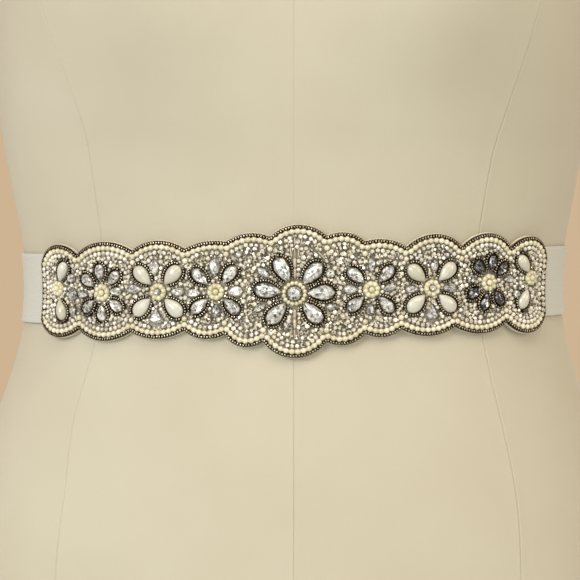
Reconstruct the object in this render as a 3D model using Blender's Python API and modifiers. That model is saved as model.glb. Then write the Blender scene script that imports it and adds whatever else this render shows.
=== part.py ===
"""A beaded bridal belt on a limbless dress form.

The belt is a scalloped felt panel, thick with beads and large stones, which lies
round the front of the waist.  An elastic strap runs from under each end of the panel
to the centre back, where two wire hooks catch two wire eyes.  The dress form is a
smooth torso with flat arm plates, a neck cap and a base board that it stands on.

Axes: +X is the picture's right, +Y is towards the back, +Z is up.  The origin is on
the floor under the middle of the form.  All sizes are in metres.
"""

from collections import namedtuple

import bmesh
import bpy
import numpy as np
from mathutils import Vector
from mathutils.geometry import delaunay_2d_cdt

MM = 0.001

# Dress form.
BELT_HEIGHT = 300 * MM
BASE_THICK = 10 * MM
SEAM_GAP = 0.3 * MM
FORM_RING_POINTS = 44
ARM_CUT_X = 170 * MM
ARM_CUT_FLOOR = 420 * MM
ARM_PLATE_THICK = 4 * MM
ARM_PLATE_SHARE = 0.97
NECK_CAP_RISE = 13 * MM
NECK_CAP_SHARE = 0.94
BOARD_SHARE = 0.97
RIM_EASE = 1.2 * MM
MERGE_DISTANCE = 0.01 * MM

# A row for each level of the form: its height from the belt's middle, its half
# breadth, its depth before and behind its own axis, how far that axis leans back,
# and how square the section is (2 is an ellipse).  Millimetres.
Level = namedtuple("Level", "height half_breadth front back lean square")
FORM_LEVELS = (
    Level(-290, 170, 107, 112, 0, 2.1),
    Level(-240, 180, 112, 122, 0, 2.1),
    Level(-190, 185, 116, 129, 0, 2.1),
    Level(-140, 181.5, 116, 127, 0, 2.1),
    Level(-100, 174, 113.5, 117.5, 0, 2.0),
    Level(-68, 163.2, 109, 108, 0, 2.0),
    Level(-49, 156.4, 106, 103, 0, 2.0),
    Level(-35, 152.5, 103.5, 99.8, 0, 2.0),
    Level(-22, 149.6, 101.6, 97.4, 0, 2.0),
    Level(-8, 148.2, 100.6, 96.2, 0, 2.0),
    Level(8, 148.5, 100.6, 96.2, 0, 2.0),
    Level(20, 150, 101.2, 96.9, 0, 2.0),
    Level(38, 153.3, 102.6, 98.6, 0, 2.0),
    Level(56, 156.6, 104.8, 101, 0, 2.0),
    Level(73, 159.8, 107.5, 103.6, 0, 2.0),
    Level(92, 162.6, 111, 106.5, 0, 2.05),
    Level(120, 165, 115, 110, 0, 2.1),
    Level(160, 166, 117, 113, 0, 2.15),
    Level(200, 166.5, 111.5, 113, 1, 2.2),
    Level(230, 170.5, 105, 112, 2, 2.25),
    Level(260, 180, 99, 110, 3, 2.3),
    Level(295, 187, 92, 106, 4, 2.3),
    Level(325, 184, 84, 99, 4, 2.25),
    Level(348, 172, 76, 90, 3, 2.2),
    Level(366, 152, 67, 81, 1, 2.1),
    Level(382, 124, 59, 72, -2, 2.05),
    Level(396, 93, 53, 63, -5, 2.0),
    Level(408, 70, 49, 55, -8, 2.0),
    Level(422, 59, 47, 50, -10, 2.0),
    Level(442, 55, 46, 48, -12, 2.0),
    Level(466, 54, 45.5, 47.5, -13, 2.0),
)
BUST_HEIGHT = 165 * MM
BUST_SIDE = 84 * MM
BUST_REACH = 19 * MM
BUST_SPREAD_X = 52 * MM
BUST_SPREAD_Z = 56 * MM
FINE_RING_STEP = 11 * MM
BUST_RING_STEP = 17 * MM
COARSE_RING_STEP = 24 * MM
FINE_ZONE = 75 * MM
SHOULDER_ZONE = 320 * MM
BODY_SMOOTH_ANGLE = 0.6
CAP_SMOOTH_ANGLE = 0.7
ARM_SEARCH = (200 * MM, 380 * MM)
ARM_POINTS = 28

# The neck cap's rings: how steep the dome is at each, in degrees, above its foot.
CAP_SLOPES = (0, 25, 45, 62, 76)
CAP_FOOT_SHARE = 0.25

# Belt.
FORM_CLEARANCE = 0.6 * MM
LINE_OFFSET = 3.6 * MM
BELT_ROLL = 0.0144
BELT_PITCH = 0.0278
STRAP_HEIGHT = 38 * MM
STRAP_RAISE = 1.9 * MM
STRAP_THICK = 1.2 * MM
STRAP_TUCK = 12 * MM
STRAP_STEP = 7 * MM
HEM_LENGTH = 12 * MM
HEM_THICK = 2.4 * MM
HEM_STEP = 0.6 * MM
STRAP_ROWS = 5
CLOSURE_GAP = 5 * MM
PANEL_END = 150.8 * MM
PANEL_LIFT_START = 118 * MM
FELT_THICK = 1.6 * MM
FELT_MARGIN = 0.8 * MM
END_MARGIN = 0.4 * MM
SEED_ROW = 2.1 * MM
PEARL_ROW = 3.0 * MM
FIELD_RISE = 1.7 * MM
FIELD_STEP = 0.35 * MM
OUTLINE_STEP = 3.2 * MM
PANEL_GRID_U = 7.5 * MM
PANEL_GRID_V = 8 * MM
PANEL_HALF_HEIGHT = 36 * MM
GRID_CLEARANCE = 1.6 * MM
PEAK_CLEARANCE = 7 * MM
UNDER_INSET = 3 * MM
LIFT_EASE = 2 * MM
SIDE_STEP_SHARE = 1.3
NEAREST_POINTS = 0.05 * MM
PANEL_SMOOTH_ANGLE = 0.5

# A row for each scallop of the panel, from the picture's left to its right.  The
# crests are the heights of the felt's edge over and under the belt's middle line, and
# the notch closes the scallop on its right, at (notch_u, height) above and below.
Scallop = namedtuple(
    "Scallop", "crest_top crest_low notch_top_u notch_top notch_low_u notch_low"
)
SCALLOPS = (
    Scallop(26.4, 24.9, -122.1, 21.1, -120.9, 20.2),
    Scallop(27.5, 26.2, -86.7, 22.8, -87.7, 21.2),
    Scallop(27.8, 24.9, -57.1, 23.4, -57.8, 20.6),
    Scallop(27.3, 25.1, -35.1, 26.7, -36.3, 22.9),
    Scallop(31.1, 29.5, -12.3, 29.1, -16.0, 26.9),
    Scallop(35.2, 35.4, 16.9, 29.2, 16.9, 27.4),
    Scallop(30.9, 29.2, 36.7, 26.0, 37.2, 23.3),
    Scallop(27.1, 25.4, 58.8, 22.8, 56.5, 21.4),
    Scallop(29.3, 25.3, 90.1, 22.6, 86.7, 20.8),
    Scallop(29.3, 24.9, 121.5, 21.9, 119.7, 19.4),
    Scallop(27.4, 25.9, None, None, None, None),
)
END_DROPS_TOP = (12.4 * MM, 15.2 * MM)
END_DROPS_LOW = (10.3 * MM, 11.8 * MM)

# A row for each flower: its place on the panel, the length and width of a petal
# stone, how far out the petals sit, the boss's radius at its middle, whether the
# petals are domed, and the petals' angles.  A part flower at each end takes two rows,
# for its petals sit at different reaches.
Flower = namedtuple("Flower", "name u v length width reach boss domed angles")
FLOWERS = (
    Flower("left_end", -136.1, 2.3, 11.6, 6.5, 10.1, 4.4, True, (66,)),
    Flower("left_end_low", -136.1, 2.3, 11.6, 6.5, 12.3, 0, True, (-75,)),
    Flower("left_six", -106.1, 0, 9.5, 6, 10.9, 4.9, False, (46, 94, 144, 221, 273, 322)),
    Flower("left_pearl", -72.6, 0.4, 12.8, 8, 12.0, 4.8, True, (47, 134, 222, 316)),
    Flower("left_four", -41.0, 0.3, 10.6, 6.4, 11.6, 4.7, False, (51, 136, 221, 317)),
    Flower("middle", 0.2, -1.1, 13, 8.2, 14.6, 7.2, False, (1, 48, 115.6, 173, 229, 312)),
    Flower("right_four", 40.6, 0.3, 10.4, 6.2, 11.4, 4.7, False, (47, 138, 221, 314)),
    Flower("right_pearl", 73.8, 0.5, 12.6, 7.9, 11.8, 4.8, True, (46, 138, 222, 317)),
    Flower("right_six", 107.9, 2.7, 9.2, 5.8, 10.5, 4.9, False, (42, 84, 129, 209, 256, 306)),
    Flower("right_end", 136.7, 4.7, 11.6, 6.7, 9.7, 4.4, True, (128,)),
    Flower("right_end_low", 136.7, 4.7, 11.6, 6.7, 12.6, 0, True, (246,)),
)
STONE_SIDES = 14
BOSS_SIDES = 12
STONE_RISE = 2.4 * MM
BOSS_RISE = 1.8 * MM

# Rings up a stone: the share of its outline and the share of its rise.
DOME_RINGS = ((1, 0), (0.84, 0.62), (0.5, 0.94))
FACET_RINGS = ((1, 0), (0.78, 0.7), (0.5, 1))
BOSS_RINGS = ((1, 0), (0.72, 0.8))

# Hooks and eyes at the centre back.
WIRE_RADIUS = 0.45 * MM
HOOK_HEIGHTS = (11.4 * MM, -7.6 * MM)
EYE_HALF_WIDTH = 2.6 * MM
WIRE_REACH = 8 * MM
SEWING_RING = 1.5 * MM
BAR_LIFT = 2.0 * MM
WIRE_CLEARANCE = 1.2 * MM
WIRE_LIFT = 3.25 * MM
RING_SWEEP = 290
RING_POINTS = 8
BAR_PLACE = 1.0 * MM
BAR_BEND = 0.8 * MM
BAR_CORNER = 0.8
LEG_PAST_EDGE = 0.4 * MM
HOOK_OFFSET = 0.55 * MM
HOOK_LEG = 2.0 * MM
HOOK_LEG_SHARE = 0.4
HOOK_RING_SHIFT = 1 * MM
BEND_POINTS = 7


def make_material(name, colour, roughness, metallic=0.0):
    """A plain Principled material."""
    material = bpy.data.materials.new(name)
    material.use_nodes = True
    shader = material.node_tree.nodes["Principled BSDF"]
    shader.inputs["Base Color"].default_value = (*colour, 1)
    shader.inputs["Roughness"].default_value = roughness
    shader.inputs["Metallic"].default_value = metallic
    material.diffuse_color = (*colour, 1)
    return material


def add_object(name, mesh, material, collection, smooth_angle=None):
    """Links a mesh as a named object with its material, shaded smooth below the angle."""
    piece = bpy.data.objects.new(name, mesh)
    collection.objects.link(piece)
    mesh.materials.append(material)
    if smooth_angle is not None:
        mesh.shade_smooth()
        mesh.set_sharp_from_angle(angle=smooth_angle)
    return piece


def spline_through(knots, values, at):
    """A smooth curve through (knots, values), read at the given places.

    The slope at each knot is the mean of its two neighbouring slopes, and cubic
    Hermite pieces join them.
    """
    knots, values, at = (np.asarray(x, float) for x in (knots, values, at))
    steps = np.diff(knots)
    slopes = np.diff(values) / steps
    tangents = np.concatenate([slopes[:1], (slopes[1:] + slopes[:-1]) / 2, slopes[-1:]])
    place = np.clip(np.searchsorted(knots, at) - 1, 0, len(steps) - 1)
    h = steps[place]
    s = np.clip((at - knots[place]) / h, 0, 1)
    return (
        (2 * s**3 - 3 * s**2 + 1) * values[place]
        + (s**3 - 2 * s**2 + s) * h * tangents[place]
        + (3 * s**2 - 2 * s**3) * values[place + 1]
        + (s**3 - s**2) * h * tangents[place + 1]
    )


def form_level(z):
    """The form's half breadth, front depth, back depth, lean and squareness at z."""
    table = np.array(FORM_LEVELS, float)
    heights = table[:, 0] * MM + BELT_HEIGHT
    found = [spline_through(heights, table[:, column], z) for column in range(1, 6)]
    return [found[0] * MM, found[1] * MM, found[2] * MM, found[3] * MM, found[4]]


def form_surface(angle, z):
    """Points of the form's skin, for angles from the front centre towards +X, and heights.

    Each section is two half superellipses that meet at the sides, and the bust is a
    smooth swelling on each side of the front.
    """
    angle, z = np.broadcast_arrays(np.asarray(angle, float), np.asarray(z, float))
    half_breadth, front, back, lean, square = form_level(z)
    sine, cosine = np.sin(angle), np.cos(angle)
    power = 2 / square
    x = half_breadth * np.sign(sine) * np.abs(sine) ** power
    depth = np.where(cosine > 0, front, back)
    y = -depth * np.sign(cosine) * np.abs(cosine) ** power + lean
    across = (np.abs(x) - BUST_SIDE) / BUST_SPREAD_X
    up = (z - BELT_HEIGHT - BUST_HEIGHT) / BUST_SPREAD_Z
    forward = np.clip(cosine * 1.6, 0, 1)
    swelling = BUST_REACH * np.exp(-(across**2) - up**2) * forward**2 * (3 - 2 * forward)
    return np.stack([x, y - swelling, z], -1)


def skin_normal(angle, z):
    """The form's outward unit normal, from the slopes along the angle and the height."""
    turn, rise = 1e-4, 1e-5
    along = form_surface(angle + turn, z) - form_surface(angle - turn, z)
    upward = form_surface(angle, z + rise) - form_surface(angle, z - rise)
    normal = np.cross(along, upward)
    return normal / np.linalg.norm(normal, axis=-1, keepdims=True)


def belt_line():
    """Angles round the waist and the length along the beadwork's middle line to each."""
    angles = np.linspace(0, np.pi, 2001)
    level = np.full_like(angles, BELT_HEIGHT)
    points = form_surface(angles, level) + skin_normal(angles, level) * LINE_OFFSET
    lengths = np.concatenate([[0], np.cumsum(np.linalg.norm(np.diff(points, axis=0), axis=1))])
    return angles, lengths


LINE_ANGLES, LINE_LENGTHS = belt_line()
HALF_GIRTH = LINE_LENGTHS[-1]


def wrap(u, v, w):
    """Wraps flat belt coordinates round the form.

    u is the length along the belt from the front centre, v the height over its middle
    line and w the distance out from the belt's inner side.  The belt lies in a plane
    that is rolled and pitched a little, as it is worn.
    """
    u, v, w = np.broadcast_arrays(*(np.asarray(x, float) for x in (u, v, w)))
    angle = np.sign(u) * np.interp(np.abs(u), LINE_LENGTHS, LINE_ANGLES)
    level = form_surface(angle, np.full_like(angle, BELT_HEIGHT))
    front_depth = level[..., 1] - form_surface(0.0, BELT_HEIGHT)[1]
    z = BELT_HEIGHT + v + level[..., 0] * BELT_ROLL - front_depth * BELT_PITCH
    normal = skin_normal(angle, z)
    return form_surface(angle, z) + normal * (w + FORM_CLEARANCE)[..., None]


def grid_faces(rows, columns, closed):
    """Quads between neighbouring rows of points, closed round the row or not."""
    faces = []
    for row in range(rows - 1):
        for column in range(columns if closed else columns - 1):
            beside = (column + 1) % columns
            low, high = row * columns, (row + 1) * columns
            faces.append((low + column, low + beside, high + beside, high + column))
    return faces


def new_mesh(name, points, faces):
    """A mesh from an array of points and a list of faces."""
    mesh = bpy.data.meshes.new(name)
    mesh.from_pydata([tuple(p) for p in np.asarray(points, float)], [], faces)
    mesh.validate()
    mesh.update()
    return mesh


def ring_heights():
    """Heights of the form's rings: close together at the belt, wider away from it."""
    low = BASE_THICK + SEAM_GAP
    high = BELT_HEIGHT + FORM_LEVELS[-1].height * MM
    fine_low, fine_high = BELT_HEIGHT - FINE_ZONE, BELT_HEIGHT + FINE_ZONE
    shoulder = BELT_HEIGHT + SHOULDER_ZONE
    spans = (
        (low, fine_low, COARSE_RING_STEP),
        (fine_low, fine_high, FINE_RING_STEP),
        (fine_high, shoulder, BUST_RING_STEP),
        (shoulder, high, FINE_RING_STEP),
    )
    heights = []
    for start, end, step in spans:
        count = max(1, round((end - start) / step))
        heights.extend(np.linspace(start, end, count + 1)[:-1])
    return np.array([*heights, high])


def build_torso(collection, material):
    """The torso: half rings lofted from base to neck, cut flat at the arm, and mirrored."""
    heights = ring_heights()
    count = FORM_RING_POINTS // 2 + 1
    angles = np.linspace(0, np.pi, count)
    points = form_surface(angles[None, :], heights[:, None]).reshape(-1, 3)
    faces = grid_faces(len(heights), count, False)
    last = (len(heights) - 1) * count
    faces += [tuple(reversed(range(count))), tuple(range(last, last + count))]
    mesh = new_mesh("torso", points, faces)
    shell = bmesh.new()
    shell.from_mesh(mesh)
    lifted = {f for f in shell.faces if min(v.co.z for v in f.verts) > ARM_CUT_FLOOR}
    edges = {e for f in lifted for e in f.edges}
    verts = {v for f in lifted for v in f.verts}
    cut = bmesh.ops.bisect_plane(
        shell,
        geom=[*verts, *edges, *lifted],
        plane_co=(ARM_CUT_X, 0, 0),
        plane_no=(1, 0, 0),
        clear_outer=True,
    )
    rim = [e for e in cut["geom_cut"] if isinstance(e, bmesh.types.BMEdge)]
    bmesh.ops.holes_fill(shell, edges=rim)
    shell.to_mesh(mesh)
    shell.free()
    torso = add_object("torso", mesh, material, collection, smooth_angle=BODY_SMOOTH_ANGLE)
    mirror = torso.modifiers.new("other_side", "MIRROR")
    mirror.merge_threshold = MERGE_DISTANCE
    return torso


def arm_hole_outline():
    """The oval where the arm plane cuts the form, as (y, z) points round it."""
    level_z = BELT_HEIGHT + np.linspace(*ARM_SEARCH, 721)
    half_breadth, front, back, lean, square = form_level(level_z)
    inside = half_breadth > ARM_CUT_X
    sine = (ARM_CUT_X / half_breadth[inside]) ** (square[inside] / 2)
    reach = np.sqrt(1 - sine**2) ** (2 / square[inside])
    fore = lean[inside] - front[inside] * reach
    aft = lean[inside] + back[inside] * reach
    inner_z = level_z[inside]
    loop = np.concatenate(
        [np.stack([fore, inner_z], 1), np.stack([aft, inner_z], 1)[::-1]]
    )
    lengths = np.concatenate([[0], np.cumsum(np.linalg.norm(np.diff(loop, axis=0), axis=1))])
    places = np.linspace(0, lengths[-1], ARM_POINTS, endpoint=False)
    return np.stack([np.interp(places, lengths, loop[:, i]) for i in (0, 1)], 1)


def build_plate(name, outline, thickness, collection, material):
    """A flat plate: a closed 2D outline that is filled and extruded, with its rim eased."""
    curve = bpy.data.curves.new(name, "CURVE")
    curve.dimensions = "2D"
    curve.fill_mode = "BOTH"
    curve.extrude = thickness / 2 - RIM_EASE
    curve.bevel_depth = RIM_EASE
    curve.bevel_resolution = 1
    curve.offset = -RIM_EASE
    spline = curve.splines.new("POLY")
    spline.points.add(len(outline) - 1)
    for point, place in zip(spline.points, outline):
        point.co = (*place, 0, 1)
    spline.use_cyclic_u = True
    curve.materials.append(material)
    plate = bpy.data.objects.new(name, curve)
    collection.objects.link(plate)
    return plate


def build_arm_plate(collection, material, side):
    """An oval plate over one arm hole, a little inside the hole's outline."""
    loop = arm_hole_outline()
    middle = loop.mean(0)
    outline = middle + (loop - middle) * ARM_PLATE_SHARE
    name = "arm_plate_right" if side > 0 else "arm_plate_left"
    plate = build_plate(name, outline, ARM_PLATE_THICK, collection, material)
    plate.location.x = side * (ARM_CUT_X + SEAM_GAP + ARM_PLATE_THICK / 2)
    plate.rotation_euler = (np.pi / 2, 0, np.pi / 2)
    return plate


def build_neck_cap(collection, material):
    """A low dome on the neck: ellipses that shrink as they rise."""
    top = BELT_HEIGHT + FORM_LEVELS[-1].height * MM
    angles = np.linspace(0, 2 * np.pi, FORM_RING_POINTS, endpoint=False)
    rim = form_surface(angles, np.full_like(angles, top))
    middle = np.array([0, rim[:, 1].mean(), 0])
    slopes = np.radians(CAP_SLOPES)
    rises = CAP_FOOT_SHARE + (1 - CAP_FOOT_SHARE) * np.sin(slopes)
    steps = [(1.0, 0.0), *zip(np.cos(slopes), rises)]
    points = []
    for share, rise in steps:
        ring = (rim - middle) * NECK_CAP_SHARE * share + middle
        ring[:, 2] = top + SEAM_GAP + NECK_CAP_RISE * rise
        points.extend(ring)
    count = FORM_RING_POINTS
    last = (len(steps) - 1) * count
    faces = grid_faces(len(steps), count, True)
    faces += [tuple(reversed(range(count))), tuple(range(last, last + count))]
    mesh = new_mesh("neck_cap", points, faces)
    return add_object("neck_cap", mesh, material, collection, smooth_angle=CAP_SMOOTH_ANGLE)


def build_base_board(collection, material):
    """The board under the form, which is the face that it stands on."""
    angles = np.linspace(0, 2 * np.pi, FORM_RING_POINTS, endpoint=False)
    rim = form_surface(angles, np.full_like(angles, BASE_THICK + SEAM_GAP))
    board = build_plate("base_board", rim[:, :2] * BOARD_SHARE, BASE_THICK, collection, material)
    board.location.z = BASE_THICK / 2
    return board


def strap_stations(side):
    """Lengths along the belt at which a strap's section is placed, front to back."""
    front = PANEL_END - STRAP_TUCK
    end = HALF_GIRTH - CLOSURE_GAP / 2
    hem = end - HEM_LENGTH
    count = round((hem - front) / STRAP_STEP)
    plain = np.linspace(front, hem, count + 1)
    return side * np.array([*plain, hem + HEM_STEP, hem + HEM_LENGTH / 2, end])


def build_strap(collection, material, side):
    """One elastic strap: a strip round the waist made solid, twice as thick at its hem."""
    stations = strap_stations(side)
    rows = STRAP_RAISE + np.linspace(-STRAP_HEIGHT / 2, STRAP_HEIGHT / 2, STRAP_ROWS)
    u, v = np.meshgrid(stations, rows, indexing="ij")
    faces = grid_faces(len(stations), STRAP_ROWS, False)
    if side > 0:
        faces = [tuple(reversed(face)) for face in faces]
    name = "elastic_strap_right" if side > 0 else "elastic_strap_left"
    mesh = new_mesh(name, wrap(u, v, 0).reshape(-1, 3), faces)
    strap = add_object(name, mesh, material, collection, smooth_angle=BODY_SMOOTH_ANGLE)
    hem_start = HALF_GIRTH - CLOSURE_GAP / 2 - HEM_LENGTH + HEM_STEP / 2
    layers = strap.vertex_groups.new(name="layers")
    for index, place in enumerate(np.abs(u).ravel()):
        share = 1 if place > hem_start else STRAP_THICK / HEM_THICK
        layers.add([index], share, "REPLACE")
    solid = strap.modifiers.new("thickness", "SOLIDIFY")
    solid.thickness = HEM_THICK
    solid.offset = 1
    solid.vertex_group = layers.name
    return strap


def scallop_circle(left, right, crest):
    """(centre u, centre v, radius) of the arc through two notches that rises to the crest.

    A notch k below the crest is sqrt(k (2r - k)) from the centre along u, so the radius
    is found by halving until both notches are on the arc.
    """
    drops = [crest - left[1], crest - right[1]]
    width = right[0] - left[0]
    low, high = max(drops) / 2, 1.0
    for _ in range(60):
        radius = (low + high) / 2
        reach = [np.sqrt(max(k * (2 * radius - k), 0)) for k in drops]
        low, high = (radius, high) if sum(reach) < width else (low, radius)
    return left[0] + reach[0], crest - radius, radius


def scallop_circles(top):
    """The circles of one long edge of the panel and its notches, left to right, in metres."""
    places, drops = ("notch_top_u", "notch_top", "crest_top"), END_DROPS_TOP
    if not top:
        places, drops = ("notch_low_u", "notch_low", "crest_low"), END_DROPS_LOW
    notches = [
        (getattr(s, places[0]) * MM, getattr(s, places[1]) * MM) for s in SCALLOPS[:-1]
    ]
    crests = [getattr(s, places[2]) * MM for s in SCALLOPS]
    start = (-PANEL_END, crests[0] - drops[0])
    end = (PANEL_END, crests[-1] - drops[1])
    corners = [start, *notches, end]
    circles = [scallop_circle(a, b, c) for a, b, c in zip(corners, corners[1:], crests)]
    return circles, notches


def edge_points(top, inset, step):
    """Points along one long edge of the panel, left to right, drawn in by the inset.

    Each scallop's arc keeps its angles and loses the inset from its radius, and a small
    arc with the inset as its radius rounds each notch.
    """
    circles, notches = scallop_circles(top)
    end = PANEL_END - inset - (END_MARGIN if inset else 0)
    points = []
    for place, (cu, cv, radius) in enumerate(circles):
        reach = radius - inset
        start = np.arccos(np.clip((-end - cu) / reach, -1, 1))
        stop = np.arccos(np.clip((end - cu) / reach, -1, 1))
        if place > 0:
            before = notches[place - 1]
            start = np.arctan2(before[1] - cv, before[0] - cu)
        if place < len(notches):
            after = notches[place]
            stop = np.arctan2(after[1] - cv, after[0] - cu)
        count = max(3, round((start - stop) * reach / step))
        turns = np.linspace(start, stop, count + 1)
        points.extend((cu + reach * np.cos(t), cv + reach * np.sin(t)) for t in turns)
        if place < len(notches):
            points.extend(notch_points(after, (cu, cv), circles[place + 1][:2], inset, step))
    points = np.array(points)
    return points if top else points * (1, -1)


def notch_points(notch, first, second, inset, step):
    """Points round a notch at the inset, between its two neighbouring arcs' ends."""
    start = np.arctan2(first[1] - notch[1], first[0] - notch[0])
    stop = np.arctan2(second[1] - notch[1], second[0] - notch[0])
    count = max(1, round((stop - start) * inset / step))
    turns = np.linspace(start, stop, count + 1)[1:-1]
    return [(notch[0] + inset * np.cos(t), notch[1] + inset * np.sin(t)) for t in turns]


def panel_loop(inset, step=OUTLINE_STEP):
    """The panel's closed outline drawn in by the inset, anticlockwise, corners eased."""
    low = edge_points(False, inset, step)
    high = edge_points(True, inset, step)[::-1]
    sides = []
    for a, b in ((low[-1], high[0]), (high[-1], low[0])):
        count = max(2, round(abs(b[1] - a[1]) / (SIDE_STEP_SHARE * step)))
        share = np.linspace(0, 1, count + 1)[1:-1, None]
        sides.append(np.array(a) + share * (np.array(b) - np.array(a)))
    loop = np.concatenate([low, sides[0], high, sides[1]])
    keep = np.linalg.norm(loop - np.roll(loop, 1, 0), axis=1) > NEAREST_POINTS
    loop = loop[keep]
    corners = np.abs(loop[:, 0]) > np.abs(loop[:, 0]).max() - 1e-6
    beside = corners & ~(np.roll(corners, 1) & np.roll(corners, -1))
    eased = (np.roll(loop, 1, 0) + 2 * loop + np.roll(loop, -1, 0)) / 4
    return np.where(beside[:, None], eased, loop)


def teardrop(length, width, sides):
    """A teardrop outline with its point towards -X, from x = -length/2 to +length/2.

    The half width is sin(t) times sin(t / 2) to a small power, which closes one end to
    a point and leaves the other round.
    """
    t = np.linspace(0, 2 * np.pi, sides, endpoint=False)
    half_width = np.sin(t) * np.abs(np.sin(t / 2)) ** 0.9
    half_width = half_width / np.abs(half_width).max()
    return np.stack([-np.cos(t) * length / 2, -half_width * width / 2], 1)


def stone_rings(flower):
    """Loops of (u, v, w) points for each petal stone and the boss of one flower."""
    groups = []
    field = FELT_THICK + FIELD_RISE
    middle = np.array([flower.u, flower.v]) * MM
    steps = DOME_RINGS if flower.domed else FACET_RINGS
    for degrees in flower.angles:
        turn = np.radians(degrees)
        ahead = np.array([np.cos(turn), np.sin(turn)])
        aside = np.array([-np.sin(turn), np.cos(turn)])
        outline = teardrop(flower.length * MM, flower.width * MM, STONE_SIDES)
        centre = middle + ahead * flower.reach * MM
        loops = []
        for share, rise in steps:
            place = centre + share * (outline[:, :1] * ahead + outline[:, 1:] * aside)
            loops.append((place, field + rise * STONE_RISE))
        groups.append((loops, centre, field + STONE_RISE))
    if not flower.boss:
        return groups
    turns = np.linspace(0, 2 * np.pi, BOSS_SIDES, endpoint=False)
    circle = np.stack([np.cos(turns), np.sin(turns)], 1) * flower.boss * MM
    loops = [(middle + circle * share, field + BOSS_RISE * rise) for share, rise in BOSS_RINGS]
    groups.append((loops, middle, field + BOSS_RISE))
    return groups


def distance_to(points, loops):
    """The distance from each point to the nearest point of the loops."""
    every = np.concatenate(loops)
    return np.linalg.norm(points[:, None, :] - every[None], axis=2).min(1)


def inside_edges(points, inset):
    """Which points lie within the panel's outline drawn in by the inset."""
    high = edge_points(True, inset, MM)
    low = edge_points(False, inset, MM)
    below = points[:, 1] < np.interp(points[:, 0], high[:, 0], high[:, 1])
    above = points[:, 1] > np.interp(points[:, 0], low[:, 0], low[:, 1])
    return below & above & (np.abs(points[:, 0]) < PANEL_END - inset)


def plain_grid(inset):
    """Evenly spaced points inside the panel, so that its faces can follow the waist."""
    across = np.arange(-PANEL_END, PANEL_END, PANEL_GRID_U)
    upward = np.arange(-PANEL_HALF_HEIGHT, PANEL_HALF_HEIGHT, PANEL_GRID_V)
    points = np.stack(np.meshgrid(across, upward), -1).reshape(-1, 2)
    return points[inside_edges(points, inset)]


def triangulate(loops, extra):
    """Constrained triangles over closed loops and loose points, anticlockwise.

    Returns the points, the triangles and, for each point, its place in the input.
    """
    points, edges, start = [], [], 0
    for loop in loops:
        count = len(loop)
        points.extend(loop)
        edges.extend((start + i, start + (i + 1) % count) for i in range(count))
        start += count
    points.extend(extra)
    found = delaunay_2d_cdt([Vector(p) for p in points], edges, [], 1, 1e-7)
    origin = [sources[0] if sources else None for sources in found[3]]
    return np.array([tuple(p) for p in found[0]]), found[2], origin


def panel_inner_lift(u):
    """How far the panel's inner side stands off where a strap's end is tucked under it."""
    end = PANEL_END - STRAP_TUCK - LIFT_EASE
    share = np.clip((np.abs(u) - PANEL_LIFT_START) / (end - PANEL_LIFT_START), 0, 1)
    return (STRAP_THICK + SEAM_GAP) * share**2 * (3 - 2 * share)


def build_panel(collection, material):
    """The beaded panel: a plain inner side and an outer side raised into beadwork.

    The outer side steps up from the felt's margin to the bead field, and rises again at
    each large stone and each flower's boss.
    """
    field = FELT_THICK + FIELD_RISE
    rim = panel_loop(0)
    bands = (
        (panel_loop(FELT_MARGIN), FELT_THICK),
        (panel_loop(FELT_MARGIN + FIELD_STEP), field),
    )
    loops, heights = [rim], [np.full(len(rim), FELT_THICK)]
    for loop, height in bands:
        loops.append(loop)
        heights.append(np.full(len(loop), height))
    peaks, peak_heights = [], []
    for flower in FLOWERS:
        for rings, centre, top in stone_rings(flower):
            for loop, height in rings:
                loops.append(loop)
                heights.append(np.full(len(loop), height))
            peaks.append(centre)
            peak_heights.append(top)
    grid = plain_grid(FELT_MARGIN + SEED_ROW + PEARL_ROW + GRID_CLEARANCE)
    grid = grid[distance_to(grid, loops) > GRID_CLEARANCE]
    grid = grid[distance_to(grid, [np.array(peaks)]) > PEAK_CLEARANCE]
    extra = np.concatenate([np.array(peaks), grid])
    heights += [np.array(peak_heights), np.full(len(grid), field)]
    flat, triangles, origin = triangulate(loops, extra)
    height = np.concatenate(heights)
    outer_w = np.array([height[i] if i is not None else field for i in origin])

    under, under_triangles, under_origin = triangulate([rim], plain_grid(UNDER_INSET))
    offset = len(flat)
    lift = panel_inner_lift(flat[:, 0])
    under_lift = panel_inner_lift(under[:, 0])
    points = np.concatenate([
        wrap(flat[:, 0], flat[:, 1], outer_w + lift),
        wrap(under[:, 0], under[:, 1], under_lift),
    ])
    faces = [tuple(t) for t in triangles]
    faces += [tuple(offset + i for i in reversed(t)) for t in under_triangles]
    top_of = {source: i for i, source in enumerate(origin) if source is not None}
    under_of = {source: i for i, source in enumerate(under_origin) if source is not None}
    count = len(rim)
    for i in range(count):
        j = (i + 1) % count
        faces.append((top_of[i], offset + under_of[i], offset + under_of[j], top_of[j]))
    mesh = new_mesh("beaded_panel", points, faces)
    return add_object(
        "beaded_panel", mesh, material, collection, smooth_angle=PANEL_SMOOTH_ANGLE
    )


def build_wire(name, route, collection, material):
    """A wire along (s, v, w) points, where s runs from the centre back towards +X."""
    curve = bpy.data.curves.new(name, "CURVE")
    curve.dimensions = "3D"
    curve.bevel_depth = WIRE_RADIUS
    curve.bevel_resolution = 2
    curve.use_fill_caps = True
    spline = curve.splines.new("POLY")
    s, v, w = np.array(route).T
    along = np.where(s >= 0, HALF_GIRTH - s, -(HALF_GIRTH + s))
    points = wrap(along, v, w)
    spline.points.add(len(points) - 1)
    for point, place in zip(spline.points, points):
        point.co = (*place, 1)
    wire = bpy.data.objects.new(name, curve)
    collection.objects.link(wire)
    curve.materials.append(material)
    return wire


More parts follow.
